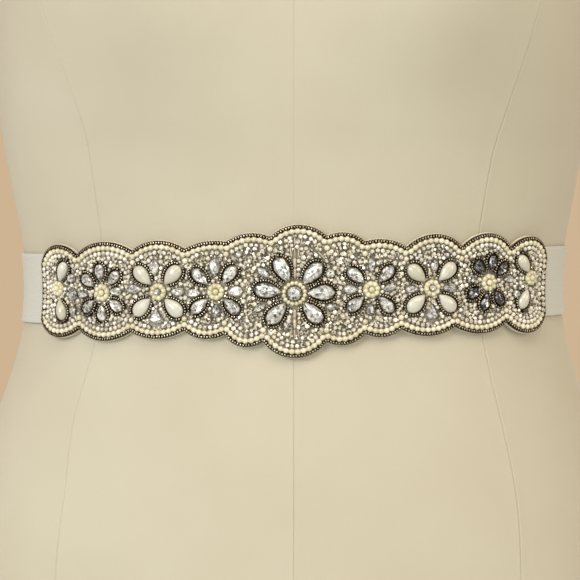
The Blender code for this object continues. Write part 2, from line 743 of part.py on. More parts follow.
def sewing_ring(s, v, w, side, turn):
    """Points round most of a small ring at a wire's end, starting beside (s, v).

    side is the way that it opens along s, and turn is 1 where it rises and -1 where it
    falls.
    """
    return [
        (s + side * SEWING_RING * np.sin(t), v + turn * SEWING_RING * (1 - np.cos(t)), w)
        for t in np.radians(np.linspace(0, RING_SWEEP, RING_POINTS))
    ]


def build_eye(number, v, collection, material):
    """A wire eye sewn to the strap on the -X side, its bar in the gap at the back."""
    bar = BAR_PLACE
    edge = -CLOSURE_GAP / 2 - LEG_PAST_EDGE
    half = EYE_HALF_WIDTH
    low_leg = [
        (edge, v - half, WIRE_LIFT),
        (bar - BAR_BEND, v - half, BAR_LIFT),
        (bar, v - half * BAR_CORNER, BAR_LIFT),
    ]
    high_leg = [(s, 2 * v - height, w) for s, height, w in reversed(low_leg)]
    low_ring = sewing_ring(-WIRE_REACH, v - half, WIRE_LIFT, -1, -1)
    high_ring = [(s, 2 * v - height, w) for s, height, w in low_ring]
    route = [*reversed(low_ring), *low_leg, *high_leg, *high_ring]
    return build_wire(f"eye_{number}", route, collection, material)


def build_hook(number, v, collection, material):
    """A wire hook sewn to the strap on the +X side, which folds round the eye's bar."""
    bend = [
        (BAR_PLACE + WIRE_CLEARANCE * np.cos(t), v, BAR_LIFT + WIRE_CLEARANCE * np.sin(t))
        for t in np.radians(np.linspace(90, 270, BEND_POINTS))
    ]
    ring = sewing_ring(WIRE_REACH + HOOK_RING_SHIFT, v + HOOK_OFFSET, WIRE_LIFT, 1, 1)
    leg = [(BAR_PLACE + HOOK_LEG, v + HOOK_OFFSET * HOOK_LEG_SHARE, WIRE_LIFT)]
    route = [*reversed(ring), *leg, *bend]
    return build_wire(f"hook_{number}", route, collection, material)


def build_belt(collection):
    """The belt's panel, straps, hooks and eyes."""
    beadwork = make_material("beadwork", (0.62, 0.58, 0.50), 0.35)
    elastic = make_material("elastic", (0.80, 0.79, 0.74), 0.7)
    steel = make_material("wire", (0.75, 0.75, 0.76), 0.25, 1.0)
    build_panel(collection, beadwork)
    for side in (-1, 1):
        build_strap(collection, elastic, side)
    for number, v in enumerate(HOOK_HEIGHTS, 1):
        build_eye(number, v, collection, steel)
        build_hook(number, v, collection, steel)


def build_form(collection):
    """The dress form that the belt is shown on."""
    cover = make_material("form_cover", (0.72, 0.66, 0.52), 0.85)
    board = make_material("form_board", (0.66, 0.60, 0.47), 0.7)
    build_torso(collection, cover)
    for side in (-1, 1):
        build_arm_plate(collection, cover, side)
    build_neck_cap(collection, cover)
    build_base_board(collection, board)


def main():
    """Clears the scene and builds the belt and its dress form."""
    for old in list(bpy.data.objects):
        bpy.data.objects.remove(old)
    collection = bpy.data.collections.new("beaded_belt_on_dress_form")
    bpy.context.scene.collection.children.link(collection)
    build_form(collection)
    build_belt(collection)


main()
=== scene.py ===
"""Looks of a beaded bridal belt on a limbless dress form.

A scalloped felt panel carries rows of bronze seed beads, ivory pearls and foiled
stones set as eleven flowers.  Elastic straps run from under its ends to the centre
back, where wire hooks catch wire eyes.  The dress form wears a sewn jersey cover.

Axes: +X is the picture's right, +Y is towards the back and +Z is up, in metres.  A
place on the belt is (u, v, w): the length round the waist from the front centre, the
height over the belt's middle line, and the distance out from the belt's inner side.
"""

import logging
import math
from collections.abc import Iterable, Sequence
from dataclasses import astuple, dataclass, field
from enum import Enum
from typing import Protocol

import bmesh
import bpy
import numpy as np
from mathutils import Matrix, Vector
from mathutils.geometry import delaunay_2d_cdt


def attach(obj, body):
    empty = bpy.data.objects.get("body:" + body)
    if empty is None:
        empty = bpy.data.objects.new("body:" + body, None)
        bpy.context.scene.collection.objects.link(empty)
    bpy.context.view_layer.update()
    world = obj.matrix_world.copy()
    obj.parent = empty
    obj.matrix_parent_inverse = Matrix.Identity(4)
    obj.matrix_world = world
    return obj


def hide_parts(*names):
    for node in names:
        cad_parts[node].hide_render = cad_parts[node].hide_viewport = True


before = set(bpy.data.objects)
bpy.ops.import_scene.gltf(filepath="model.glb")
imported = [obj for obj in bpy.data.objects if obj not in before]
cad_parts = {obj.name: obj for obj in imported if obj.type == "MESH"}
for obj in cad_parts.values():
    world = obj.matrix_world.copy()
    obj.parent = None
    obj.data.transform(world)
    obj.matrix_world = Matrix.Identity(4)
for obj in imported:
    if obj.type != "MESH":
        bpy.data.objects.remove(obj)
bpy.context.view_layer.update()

MM = 0.001
BODY = "root"
LOG = logging.getLogger("belt")

Array = np.ndarray
Colour = tuple[float, float, float]
Material = bpy.types.Material
Pair = tuple[float, float]
Piece = bpy.types.Object
Socket = bpy.types.NodeSocket


class Side(Enum):
    """A side of the belt and of the form, with its sign along X."""

    LEFT = -1
    RIGHT = 1

    @property
    def word(self) -> str:
        """The side as it stands in the names of pieces."""
        return self.name.lower()


class NodeSheet:
    """The nodes of a material or of the world, added and wired in short calls."""

    def __init__(self, owner: str | bpy.types.World) -> None:
        """Starts with the default nodes.

        Args:
            owner: the name of a new material, or the world.
        """
        self.material = bpy.data.materials.new(owner) if isinstance(owner, str) else owner
        self.material.use_nodes = True
        self.tree = self.material.node_tree
        self.shader = self.tree.nodes.get("Principled BSDF")

    def add(self, kind: str, settings: dict | None = None, **inputs: object) -> bpy.types.Node:
        """Adds a node, with its settings and the values or wires of its inputs.

        Args:
            kind: the node's type without its ShaderNode prefix.
            settings: the node's own properties.
            inputs: a value or an output socket for each input, spaces as underscores.

        Returns:
            The new node.
        """
        node = self.tree.nodes.new("ShaderNode" + kind)
        for name, value in (settings or {}).items():
            setattr(node, name, value)
        for name, value in inputs.items():
            self.put(node.inputs[name.replace("_", " ")], value)
        return node

    def put(self, socket: Socket, value: object) -> None:
        """Gives an input a wire or a plain value."""
        if isinstance(value, Socket):
            self.tree.links.new(value, socket)
        elif isinstance(value, tuple) and len(value) == 3 and socket.type == "RGBA":
            socket.default_value = (*value, 1)
        else:
            socket.default_value = value

    def shade(self, **inputs: object) -> None:
        """Sets the Principled shader's inputs."""
        for name, value in inputs.items():
            self.put(self.shader.inputs[name.replace("_", " ")], value)

    def math(self, operation: str, *values: object) -> Socket:
        """Adds a Math node.

        Args:
            operation: what it works out.
            values: a value or an output socket for each of its inputs.

        Returns:
            The node's output.
        """
        node = self.add("Math", {"operation": operation})
        for socket, value in zip(node.inputs, values):
            self.put(socket, value)
        return node.outputs[0]

    def mix(self, share: object, first: object, second: object, blend: str = "MIX") -> Socket:
        """Adds a mix of two colours, blended as it says, and returns its output."""
        node = self.add("Mix", {"data_type": "RGBA", "blend_type": blend})
        for number, value in ((0, share), (6, first), (7, second)):
            self.put(node.inputs[number], value)
        return node.outputs[2]

    def ramp(self, at: object, stops: Sequence[tuple[float, Colour]]) -> Socket:
        """Adds a colour ramp through the stops and returns its output."""
        node = self.add("ValToRGB")
        self.put(node.inputs[0], at)
        ends = node.color_ramp.elements
        while len(ends) < len(stops):
            ends.new(0.5)
        for element, (place, colour) in zip(ends, stops):
            element.position = place
            element.color = (*colour, 1)
        return node.outputs[0]

    def noise(self, scale: float, detail: float = 2.0, at: object = None) -> Socket:
        """Adds a noise texture on the Object coordinates, or on others, and returns its value."""
        return self.add("TexNoise", Vector=at or self.place(), Scale=scale, Detail=detail).outputs["Fac"]

    def place(self) -> Socket:
        """Returns the Object coordinates."""
        return self.add("TexCoord").outputs["Object"]

    def uv(self, layer: str) -> Socket:
        """Returns the coordinates of a named UV map."""
        return self.add("UVMap", {"uv_map": layer}).outputs["UV"]

    def value(self, attribute: str) -> Socket:
        """Returns a named attribute of the mesh."""
        return self.add("Attribute", {"attribute_name": attribute}).outputs["Fac"]

    def ribs(self, layer: str, pitches: Pair, shares: Pair) -> Socket:
        """Adds crossed ribs: the sine of each coordinate over its pitch, times its share.

        Args:
            layer: the UV map that they follow, in metres.
            pitches: the ribs' spacing along each coordinate.
            shares: how strong the ribs along each coordinate are.

        Returns:
            The sum's output.
        """
        split = self.add("SeparateXYZ", Vector=self.uv(layer))
        turns = [self.math("MULTIPLY", split.outputs[i], 2 * math.pi / pitches[i]) for i in (0, 1)]
        waves = [self.math("MULTIPLY", self.math("SINE", turns[i]), shares[i]) for i in (0, 1)]
        return self.math("ADD", *waves)

    def bump(self, height: object, distance: float, strength: float = 1.0) -> None:
        """Wires a height into the shader's normal."""
        node = self.add("Bump", Height=height, Distance=distance, Strength=strength)
        self.shade(Normal=node.outputs[0])


@dataclass(frozen=True)
class Jersey:
    """Matte cream jersey stretched on the form: fine upright wales and soft mottling."""

    name: str = "jersey_cover"
    light: Colour = (0.530, 0.488, 0.374)
    dark: Colour = (0.500, 0.452, 0.338)
    wale: float = 1.15 * MM
    relief: float = 0.02 * MM

    def material(self) -> Material:
        """Returns the material: its wales follow the first coordinate of the cover map."""
        sheet = NodeSheet(self.name)
        knit = sheet.ribs("cover", (self.wale, self.wale * 0.8), (1, 0.45))
        soft = sheet.noise(14, 3)
        fuzz = sheet.noise(900)
        tint = sheet.math("ADD", sheet.math("MULTIPLY", knit, 0.02), soft)
        colour = sheet.ramp(tint, ((0.3, self.dark), (0.72, self.light)))
        height = sheet.math("ADD", knit, sheet.math("MULTIPLY", fuzz, 0.9))
        sheet.bump(height, self.relief, 0.55)
        sheet.shade(Base_Color=colour, Roughness=0.86, Sheen_Weight=0.18, Sheen_Roughness=0.45)
        return sheet.material


@dataclass(frozen=True)
class Elastic:
    """Woven elastic: lengthwise ribs crossed by fine rubber lines, matte and greyish."""

    name: str = "woven_elastic"
    light: Colour = (0.575, 0.57, 0.51)
    dark: Colour = (0.53, 0.52, 0.46)
    rib: float = 1.1 * MM
    cross: float = 0.7 * MM

    def material(self) -> Material:
        """Returns the material: its ribs follow the strap's length on the weave map."""
        sheet = NodeSheet(self.name)
        weave = sheet.ribs("weave", (self.cross, self.rib), (0.8, 1))
        fuzz = sheet.noise(1400)
        tint = sheet.math("MULTIPLY_ADD", weave, 0.16, 0.6)
        colour = sheet.ramp(tint, ((0.2, self.dark), (0.7, self.light)))
        height = sheet.math("ADD", weave, sheet.math("MULTIPLY", fuzz, 1.2))
        sheet.bump(height, 0.04 * MM, 0.6)
        sheet.shade(Base_Color=colour, Roughness=0.8, Sheen_Weight=0.1)
        return sheet.material


@dataclass(frozen=True)
class Grained:
    """A finish whose colour and relief follow one grain: felt, thread, wire or brushed paint.

    Attributes:
        name: the material's name.
        dark: the colour in the grain's hollows.
        light: the colour on its crests.
        grains: the scale and the detail of each noise that makes up the grain.
        stops: where along the grain the two colours stand.
        relief: the relief's height and its strength, where it has one.
        gloss: the shader's own inputs.
        stretch: how the grain's axes are stretched, where they are.
        rough: what the grain adds to the roughness, where it does.
    """

    name: str
    dark: Colour
    light: Colour
    grains: tuple[Pair, ...] = ((1500, 3),)
    stops: Pair = (0.35, 0.65)
    relief: Pair | None = (0.15 * MM, 0.8)
    gloss: tuple[tuple[str, float], ...] = (("Roughness", 0.85), ("Sheen_Weight", 0.1))
    stretch: Colour | None = None
    rough: Pair | None = None

    def material(self) -> Material:
        """Returns the material."""
        sheet = NodeSheet(self.name)
        place = sheet.place()
        if self.stretch:
            place = sheet.add("Mapping", Vector=place, Scale=self.stretch).outputs[0]
        noises = [sheet.noise(scale, detail, place) for scale, detail in self.grains]
        grain = sheet.math("ADD", *noises) if len(noises) > 1 else noises[0]
        share = sheet.math("MULTIPLY", grain, 1 / len(noises))
        if self.relief:
            sheet.bump(grain, *self.relief)
        sheet.shade(Base_Color=sheet.ramp(share, tuple(zip(self.stops, (self.dark, self.light)))))
        sheet.shade(**dict(self.gloss))
        if self.rough:
            sheet.shade(Roughness=sheet.math("MULTIPLY_ADD", grain, *self.rough))
        return sheet.material


FELT = Grained(
    "cream_felt", (0.52, 0.455, 0.335), (0.62, 0.56, 0.43), ((1600, 4), (260, 2)), (0.32, 0.62),
    (0.25 * MM, 0.7), (("Roughness", 0.95), ("Sheen_Weight", 0.35), ("Sheen_Roughness", 0.5)),
)
# Dark bed under the beads: partly the threads' own colour, partly painted shade in the gaps between beads.
BED_THREAD_AND_GAP_SHADE = Grained("bed_thread", (0.24, 0.205, 0.15), (0.50, 0.45, 0.35))
SEWING_THREAD = Grained("sewing_thread", (0.68, 0.66, 0.60), (0.88, 0.86, 0.80))
STEEL_WIRE = Grained(
    "steel_wire", (0.576, 0.576, 0.584), (0.72, 0.72, 0.73), ((1800, 3),), (0.0, 1.0),
    (0.01 * MM, 0.4), (("Metallic", 1.0),), rough=(0.2, 0.16),
)
FLOOR_PAPER = Grained(
    "floor_paper", (0.68, 0.70, 0.69), (0.72, 0.74, 0.73), ((60, 2),), (0.3, 0.7),
    None, (("Roughness", 0.9),),
)
PAINTED_BOARD = Grained(
    "painted_board", (0.60, 0.53, 0.40), (0.72, 0.66, 0.52), ((240, 3),), (0.3, 0.7),
    (0.15 * MM, 0.5), (("Roughness", 0.42), ("Coat_Weight", 0.25), ("Coat_Roughness", 0.3)),
    stretch=(0.06, 1, 1),
)


@dataclass(frozen=True)
class Bronze:
    """Dark antique bronze seed beads: each bead its own shade, with a painted highlight on its crown."""

    name: str = "bronze_seed"
    dark: Colour = (0.030, 0.021, 0.012)
    body: Colour = (0.06, 0.043, 0.025)
    # Colour of the painted highlight on each bead's crown.
    crown: Colour = (0.86, 0.74, 0.51)

    def material(self) -> Material:
        """Returns the material."""
        sheet = NodeSheet(self.name)
        scratches = sheet.noise(2600)
        # Tones up to 0.5 are each bead's own random shade; the top of the ramp is the painted crown
        # highlight.
        colour = sheet.ramp(sheet.value("tone"), ((0.0, self.dark), (0.5, self.body), (1.0, self.crown)))
        rough = sheet.math("MULTIPLY_ADD", scratches, 0.18, 0.22)
        sheet.shade(Base_Color=colour, Metallic=1.0, Roughness=rough)
        return sheet.material


@dataclass(frozen=True)
class Pearl:
    """A lacquered ivory pearl: a warm body under a clear gloss.

    Its shade runs from warm to light with the tone attribute, with a cloudy nacre.
    """

    name: str
    warm: Colour
    light: Colour
    gloss: float = 0.09

    def material(self) -> Material:
        """Returns the material."""
        sheet = NodeSheet(self.name)
        cloud = sheet.noise(420)
        tone = sheet.math("ADD", sheet.value("tone"), sheet.math("MULTIPLY", cloud, 0.35))
        colour = sheet.ramp(sheet.math("SUBTRACT", tone, 0.17), ((0.0, self.warm), (1.0, self.light)))
        sheet.bump(cloud, 0.02 * MM, 0.3)
        sheet.shade(Base_Color=colour, Roughness=0.3, Specular_IOR_Level=0.6,
                    Coat_Weight=0.9, Coat_Roughness=self.gloss, Sheen_Weight=0.08)
        return sheet.material


@dataclass(frozen=True)
class Crystal:
    """A foil-backed stone: each facet's tone is a painted reflection of the foil, bright or dark, or for
    silver beads a tone that differs at random.

    Over patches some millimetres wide its colour leans from warm to cool.
    """

    name: str
    stops: tuple[tuple[float, Colour], ...]
    warm: Colour = (1.0, 0.985, 0.93)
    cool: Colour = (0.975, 0.965, 0.985)
    speck: float = 850
    metal: float = 0.35

    def material(self) -> Material:
        """Returns the material: the facet's tone, broken by smaller glints inside it."""
        sheet = NodeSheet(self.name)
        # Painted glints: Voronoi cells shift the tone inside each facet.
        cells = sheet.add("TexVoronoi", {"feature": "F1"}, Vector=sheet.place(), Scale=self.speck)
        glint = sheet.add("SeparateColor", Color=cells.outputs["Color"]).outputs[0]
        inner = sheet.math("MULTIPLY_ADD", glint, 0.64, -0.36)
        tone = sheet.math("ADD", sheet.value("tone"), inner)
        patch = sheet.math("MULTIPLY_ADD", sheet.noise(160, 1), 2.4, -0.7)
        tint = sheet.mix(patch, self.cool, self.warm)
        colour = sheet.mix(1.0, sheet.ramp(tone, self.stops), tint, "MULTIPLY")
        sheet.shade(Base_Color=colour, Metallic=self.metal, Roughness=0.13,
                    Coat_Weight=1.0, Coat_Roughness=0.03)
        return sheet.material


@dataclass(frozen=True)
class Solid:
    """A closed shape in its own axes: x along its thread, y across, z out from the cloth.

    Attributes:
        points: the corners, a row each.
        faces: each face's corners, anticlockwise from outside.
    """

    points: Array
    faces: tuple[tuple[int, ...], ...]

    @property
    def corners(self) -> Array:
        """The corners of every face, face after face."""
        return np.array([corner for face in self.faces for corner in face])

    @property
    def sizes(self) -> Array:
        """How many corners each face has."""
        return np.array([len(face) for face in self.faces])


def lofted(loops: Array) -> Solid:
    """Joins loops of points, listed from one end to the other, and closes both ends.

    Args:
        loops: one loop a row, anticlockwise as seen from the last loop's end.

    Returns:
        The solid: quads between neighbouring loops, and one flat face at each end.
    """
    rows, sides = loops.shape[:2]
    faces = [tuple(reversed(range(sides))), tuple(range((rows - 1) * sides, rows * sides))]
    for row in range(rows - 1):
        for side in range(sides):
            beside = (side + 1) % sides
            low, high = row * sides, (row + 1) * sides
            faces.append((low + side, low + beside, high + beside, high + side))
    return Solid(loops.reshape(-1, 3), tuple(faces))


def peaked(loops: Array, tip: Sequence[float]) -> Solid:
    """Joins loops of points and closes the last one by triangles that meet at a tip.

    Args:
        loops: one loop a row, anticlockwise as seen from the tip.
        tip: the point over the last loop.

    Returns:
        The solid, flat at its first loop.
    """
    rows, sides = loops.shape[:2]
    solid = lofted(loops)
    last, top = (rows - 1) * sides, rows * sides
    fan = tuple((last + i, last + (i + 1) % sides, top) for i in range(sides))
    return Solid(np.vstack([solid.points, [tip]]), (solid.faces[0], *solid.faces[2:], *fan))


def stacked(rings: Iterable[tuple[Array, float]]) -> Array:
    """Returns flat rings of points, each lifted to its own height, one ring a row."""
    return np.stack([np.column_stack([ring, np.full(len(ring), height)]) for ring, height in rings])


def unit(vectors: Array) -> Array:
    """Returns vectors in their own directions, each one long."""
    return vectors / np.linalg.norm(vectors, axis=-1, keepdims=True)


def heading(turn: float | Array) -> Array:
    """Returns the unit vector at an angle in the plane, or one a row."""
    return np.stack([np.cos(turn), np.sin(turn)], -1)


def bearing(start: Sequence[float], goal: Sequence[float]) -> float:
    """Returns the angle in the plane at which one point sees another."""
    return np.arctan2(goal[1] - start[1], goal[0] - start[0])


def lengths_along(path: Array) -> Array:
    """Returns the length along a path to each of its points: the steps' running sum."""
    return np.concatenate([[0], np.cumsum(np.linalg.norm(np.diff(path, axis=0), axis=1))])


def circle(sides: int) -> Array:
    """Returns the unit circle's points, anticlockwise."""
    return heading(np.linspace(0, 2 * np.pi, sides, endpoint=False))


def barrel(length: float, radius: float, sides: int = 9) -> Solid:
    """A bead threaded along x: a circle carried along x, whose radius swells midway.

    Args:
        length: the bead's length along its thread.
        radius: its greatest radius.
        sides: how many sides it has round the thread.

    Returns:
        The bead, centred on its thread.
    """
    profile = ((-0.5, 0.45), (-0.36, 0.86), (-0.2, 1.0), (0.2, 1.0), (0.36, 0.86), (0.5, 0.45))
    ring = circle(sides)
    loops = [
        np.column_stack([np.full(sides, place * length), ring * radius * share])
        for place, share in profile
    ]
    return lofted(np.stack(loops))


def ball(sides: int = 10) -> Solid:
    """A pearl of radius 1: circles at even angles from its lower to its upper pole."""
    ring = circle(sides)
    angles = np.radians((-78, -45, -12, 18, 46, 72))
    return peaked(stacked((ring * np.cos(a), np.sin(a)) for a in angles), (0, 0, 1))


class Cut(Enum):
    """The outline that a sewn stone is cut to."""

    ROUND = "round"
    PEAR = "pear"
    MARQUISE = "marquise"
    TRIANGLE = "triangle"

    def half_width(self, turn: Array) -> Array:
        """The outline's half width, from -1 to 1, at each angle round it.

        Round is sin t.  A pear is sin t times a power of sin (t / 2), which closes one
        end to a point.  A marquise is sin t squared, pointed at both ends.  A triangle
        rises in a straight line and falls steeply at its wide end.
        """
        sine = np.sin(turn)
        if self is Cut.PEAR:
            width = sine * np.abs(np.sin(turn / 2)) ** 0.6
        elif self is Cut.MARQUISE:
            width = sine * np.abs(sine)
        elif self is Cut.TRIANGLE:
            share = (1 - np.cos(turn)) / 2
            width = np.sign(sine) * np.minimum(share / 0.86, (1 - share) / 0.14)
        else:
            width = sine
        return width / max(np.abs(width).max(), 1e-9)

    def outline(self, length: float, width: float, sides: int, shift: float = 0.0) -> Array:
        """The outline's points, anticlockwise, its point towards -x.

        Args:
            length: the size along x.
            width: the size along y.
            sides: how many points.
            shift: how far round the points are moved, in steps.

        Returns:
            The points, a row each.
        """
        turn = (np.arange(sides) + shift) * 2 * np.pi / sides
        fine = np.linspace(0, 2 * np.pi, 721)
        half = np.interp(turn % (2 * np.pi), fine, self.half_width(fine))
        return np.column_stack([-np.cos(turn) * length / 2, -half * width / 2])

    def discs(self, length: float, width: float, count: int = 9) -> tuple[Array, Array]:
        """Discs along the stone's axis that cover it: their x places and their radii."""
        fine = np.linspace(0, np.pi, 181)
        x = -np.cos(fine) * length / 2
        half = np.abs(self.half_width(fine)) * width / 2
        places = np.linspace(-length / 2 * 0.92, length / 2 * 0.92, count)
        radii = np.interp(places, x, half)
        reach = np.minimum(radii, length / 2 - np.abs(places))
        return places, np.maximum(reach, radii * 0.75)


def facetted(cut: Cut, length: float, width: float, height: float, sides: int) -> Solid:
    """A cut stone: rings that shrink as they rise, each half a step round from the last.

    The half steps make the crown's kites and triangles, and two more rings inside the
    flat table show the facets under it.

    Args:
        cut: the stone's outline.
        length: its size along x.
        width: its size along y.
        height: its height from the cloth to the table.
        sides: how many facets there are in a ring.

    Returns:
        The stone, standing on z = 0.
    """
    steps = ((0.78, 0, 0), (1.0, 0.34, 0), (0.87, 0.76, 0.5), (0.64, 1.0, 0), (0.33, 0.97, 0.5))
    loops = stacked(
        (cut.outline(length, width, sides, shift) * share, height * rise) for share, rise, shift in steps
    )
    points = np.vstack([*loops, [[length * 0.04, 0, height * 0.93]]])
    faces = [tuple(reversed(range(sides)))]
    for i in range(sides):
        j = (i + 1) % sides
        base, girdle, crown, table, inner = (ring * sides for ring in range(5))
        faces += [
            (base + i, base + j, girdle + j, girdle + i),
            (girdle + i, girdle + j, crown + i),
            (crown + i, girdle + j, crown + j),
            (crown + i, crown + j, table + j),
            (table + i, crown + i, table + j),
            (table + i, table + j, inner + i),
            (inner + i, table + j, inner + j),
            (inner + i, inner + j, 5 * sides),
        ]
    return Solid(points, tuple(faces))


def chaton(sides: int = 8) -> Solid:
    """A small round stone of radius 1: a base, a girdle, a sloping crown and a table."""
    ring = circle(sides)
    steps = ((0.7, 0.0), (1.0, 0.5), (0.93, 0.8), (0.55, 1.25))
    return lofted(stacked((ring * share, rise) for share, rise in steps))


def domed(cut: Cut, length: float, width: float, height: float, sides: int = 26) -> Solid:
    """A smooth drop: the outline shrinks as the cosine and rises as the sine of an angle.

    Args:
        cut: the drop's outline.
        length: its size along x.
        width: its size along y.
        height: its height at the middle.
        sides: how many points round it.

    Returns:
        The drop, standing on z = 0.
    """
    outline = cut.outline(length, width, sides)
    middle = np.array([length * 0.06, 0])
    steps = [(0.93, 0.0), (1.0, 0.2)]
    steps += [(np.cos(a), 0.2 + 0.8 * np.sin(a)) for a in np.radians((18, 34, 50, 65, 79))]
    loops = stacked((middle + (outline - middle) * share, height * rise) for share, rise in steps)
    return peaked(loops, (*middle, height))


def tube(path: Array, radius: float, sides: int = 10) -> Solid:
    """A round tube: a circle carried along a path, square to it and never twisting.

    Args:
        path: the points that it follows.
        radius: its radius.
        sides: how many sides it has.

    Returns:
        The tube, closed at both ends.
    """
    ahead = unit(np.gradient(path, axis=0))
    side = np.cross(ahead[0], np.eye(3)[np.abs(ahead[0]).argmin()])
    sideways = []
    for direction in ahead:
        side = unit(side - direction * (side @ direction))
        sideways.append(side)
    sideways = np.array(sideways)
    upward = np.cross(ahead, sideways)
    ring = circle(sides) * radius
    loops = path[:, None] + ring[None, :, :1] * sideways[:, None] + ring[None, :, 1:] * upward[:, None]
    return lofted(loops)


class Toning(Protocol):
    """How the faces of sewn beads or stones get their tones."""

    def draw(self, rng: np.random.Generator, solid: Solid, count: int) -> Array:
        """A tone for each face of each copy.

        Args:
            rng: the random draws.
            solid: the shape that is repeated.
            count: how many copies there are.

        Returns:
            The tones, one copy a row.
        """


@dataclass(frozen=True)
class Foil:
    """How the facets' painted reflections are drawn: some dark, some greyish and the rest bright.

    Attributes:
        dark: the share of dark facets.
        grey: the share of greyish ones.
        rim: how much painted shade darkens the facets that slope away.
    """

    dark: float = 0.1
    grey: float = 0.25
    rim: float = 0.35

    def draw(self, rng: np.random.Generator, solid: Solid, count: int) -> Array:
        """Draws as Toning says: painted reflections whose tone falls, as painted shade, as a facet slopes
        away.
        """
        slopes = face_slopes(solid)
        # Painted reflections: each facet dark, greyish or bright at random.
        kind = rng.uniform(0, 1, (count, len(slopes)))
        shade = rng.uniform(0, 1, kind.shape)
        bright = 0.72 + 0.28 * shade
        tones = np.where(kind < self.dark + self.grey, 0.35 + 0.35 * shade, bright)
        tones = np.where(kind < self.dark, 0.02 + 0.2 * shade, tones)
        # Painted shade on the facets that slope away.
        return tones * (1 - self.rim * (1 - slopes))


@dataclass(frozen=True)
class Glaze:
    """How the seed beads are toned: a dark body that differs a little, and a painted highlight on the
    crown.

    Attributes:
        crown: how straight out from the cloth a face must look to get the painted highlight.
        spread: how far the bodies' tones differ.
    """

    crown: float = 0.95
    spread: float = 0.5

    def draw(self, rng: np.random.Generator, solid: Solid, count: int) -> Array:
        """Draws as Toning says: one tone for a bead's body and a painted highlight tone for its crown."""
        slopes = face_slopes(solid)
        body = self.spread * rng.uniform(0, 1, (count, 1)) * np.ones_like(slopes)
        # Faces that look straight out get a bright tone, a painted highlight; the rest keep the body's
        # random tone.
        return np.where(slopes > self.crown, rng.uniform(0.72, 1.0, (count, 1)), body)


def face_slopes(solid: Solid) -> Array:
    """How far each face looks out from the cloth.

    A face's normal is the sum of the cross products of the spokes from its middle.

    Args:
        solid: the shape.

    Returns:
        A number for each face, from 0 sideways to 1 straight out.
    """
    slopes = []
    for face in solid.faces:
        points = solid.points[list(face)]
        spokes = points - points.mean(0)
        normal = np.cross(spokes, np.roll(spokes, -1, 0)).sum(0)
        slopes.append(np.clip(normal[2] / max(np.linalg.norm(normal), 1e-12), 0, 1))
    return np.array(slopes)


@dataclass
class Batch:
    """Copies of one solid, placed in space, with a tone for each of their faces.

    Attributes:
        solid: the shape that is repeated.
        points: the copies' corners, one copy a row.
        tones: the copies' face tones, one copy a row.
    """

    solid: Solid
    points: Array
    tones: Array


def link(thing: Piece) -> Piece:
    """Puts an object in the scene and returns it."""
    bpy.context.scene.collection.objects.link(thing)
    return thing


def make_piece(
    name: str, points: Array, corners: Array, sizes: Array, smooth: bool
) -> Piece:
    """Makes a mesh object from whole arrays and links it to the scene.

    Args:
        name: the piece's name.
        points: the vertices' places.
        corners: the vertex of each face corner, face after face.
        sizes: how many corners each face has.
        smooth: whether the faces are shaded smooth.

    Returns:
        The object.
    """
    mesh = bpy.data.meshes.new(name)
    mesh.vertices.add(len(points))
    mesh.vertices.foreach_set("co", np.asarray(points, np.float32).ravel())
    mesh.loops.add(len(corners))
    mesh.loops.foreach_set("vertex_index", np.asarray(corners, np.int32))
    mesh.polygons.add(len(sizes))
    starts = np.concatenate([[0], np.cumsum(sizes)[:-1]])
    mesh.polygons.foreach_set("loop_start", starts.astype(np.int32))
    mesh.update(calc_edges=True)
    mesh.validate()
    mesh.polygons.foreach_set("use_smooth", np.full(len(mesh.polygons), smooth))
    return link(bpy.data.objects.new(name, mesh))


def join_batches(name: str, batches: Sequence[Batch], smooth: bool) -> Piece:
    """Joins every copy of every batch into one mesh, with the tones as a face attribute.

    Args:
        name: the piece's name.
        batches: the copies.
        smooth: whether they are shaded smooth.

    Returns:
        The object.
    """
    points, corners, sizes, tones, start = [], [], [], [], 0
    for batch in batches:
        copies, count = batch.points.shape[:2]
        offsets = start + np.arange(copies)[:, None] * count
        points.append(batch.points.reshape(-1, 3))
        corners.append((batch.solid.corners[None] + offsets).ravel())
        sizes.append(np.tile(batch.solid.sizes, copies))
        tones.append(batch.tones.ravel())
        start += copies * count
    piece = make_piece(name, np.vstack(points), np.concatenate(corners), np.concatenate(sizes), smooth)
    attribute = piece.data.attributes.new("tone", "FLOAT", "FACE")
    attribute.data.foreach_set("value", np.concatenate(tones).astype(np.float32))
    return piece


def give(
    piece: Piece,
    material: Material,
    node: str | None = None,
) -> Piece:
    """Dresses a piece and lets it ride on the body.

    Args:
        piece: the mesh object.
        material: its finish.
        node: the solid that the piece stands for, if it does.

    Returns:
        The piece.
    """
    piece.data.materials.append(material)
    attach(piece, BODY)
    if node:
        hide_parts(node)
    LOG.info("%s: %d faces", piece.name, len(piece.data.polygons))
    return piece


@dataclass(frozen=True)
class Level:
    """One level of the form, in millimetres from the belt's middle line.

    Attributes:
        height: the level over the belt.
        half_breadth: half the form's breadth there.
        front: its depth before its own axis.
        back: its depth behind that axis.
        lean: how far the axis leans back.
        square: the section's power, where 2 is an ellipse.
    """

    height: float
    half_breadth: float
    front: float
    back: float
    lean: float = 0.0
    square: float = 2.0


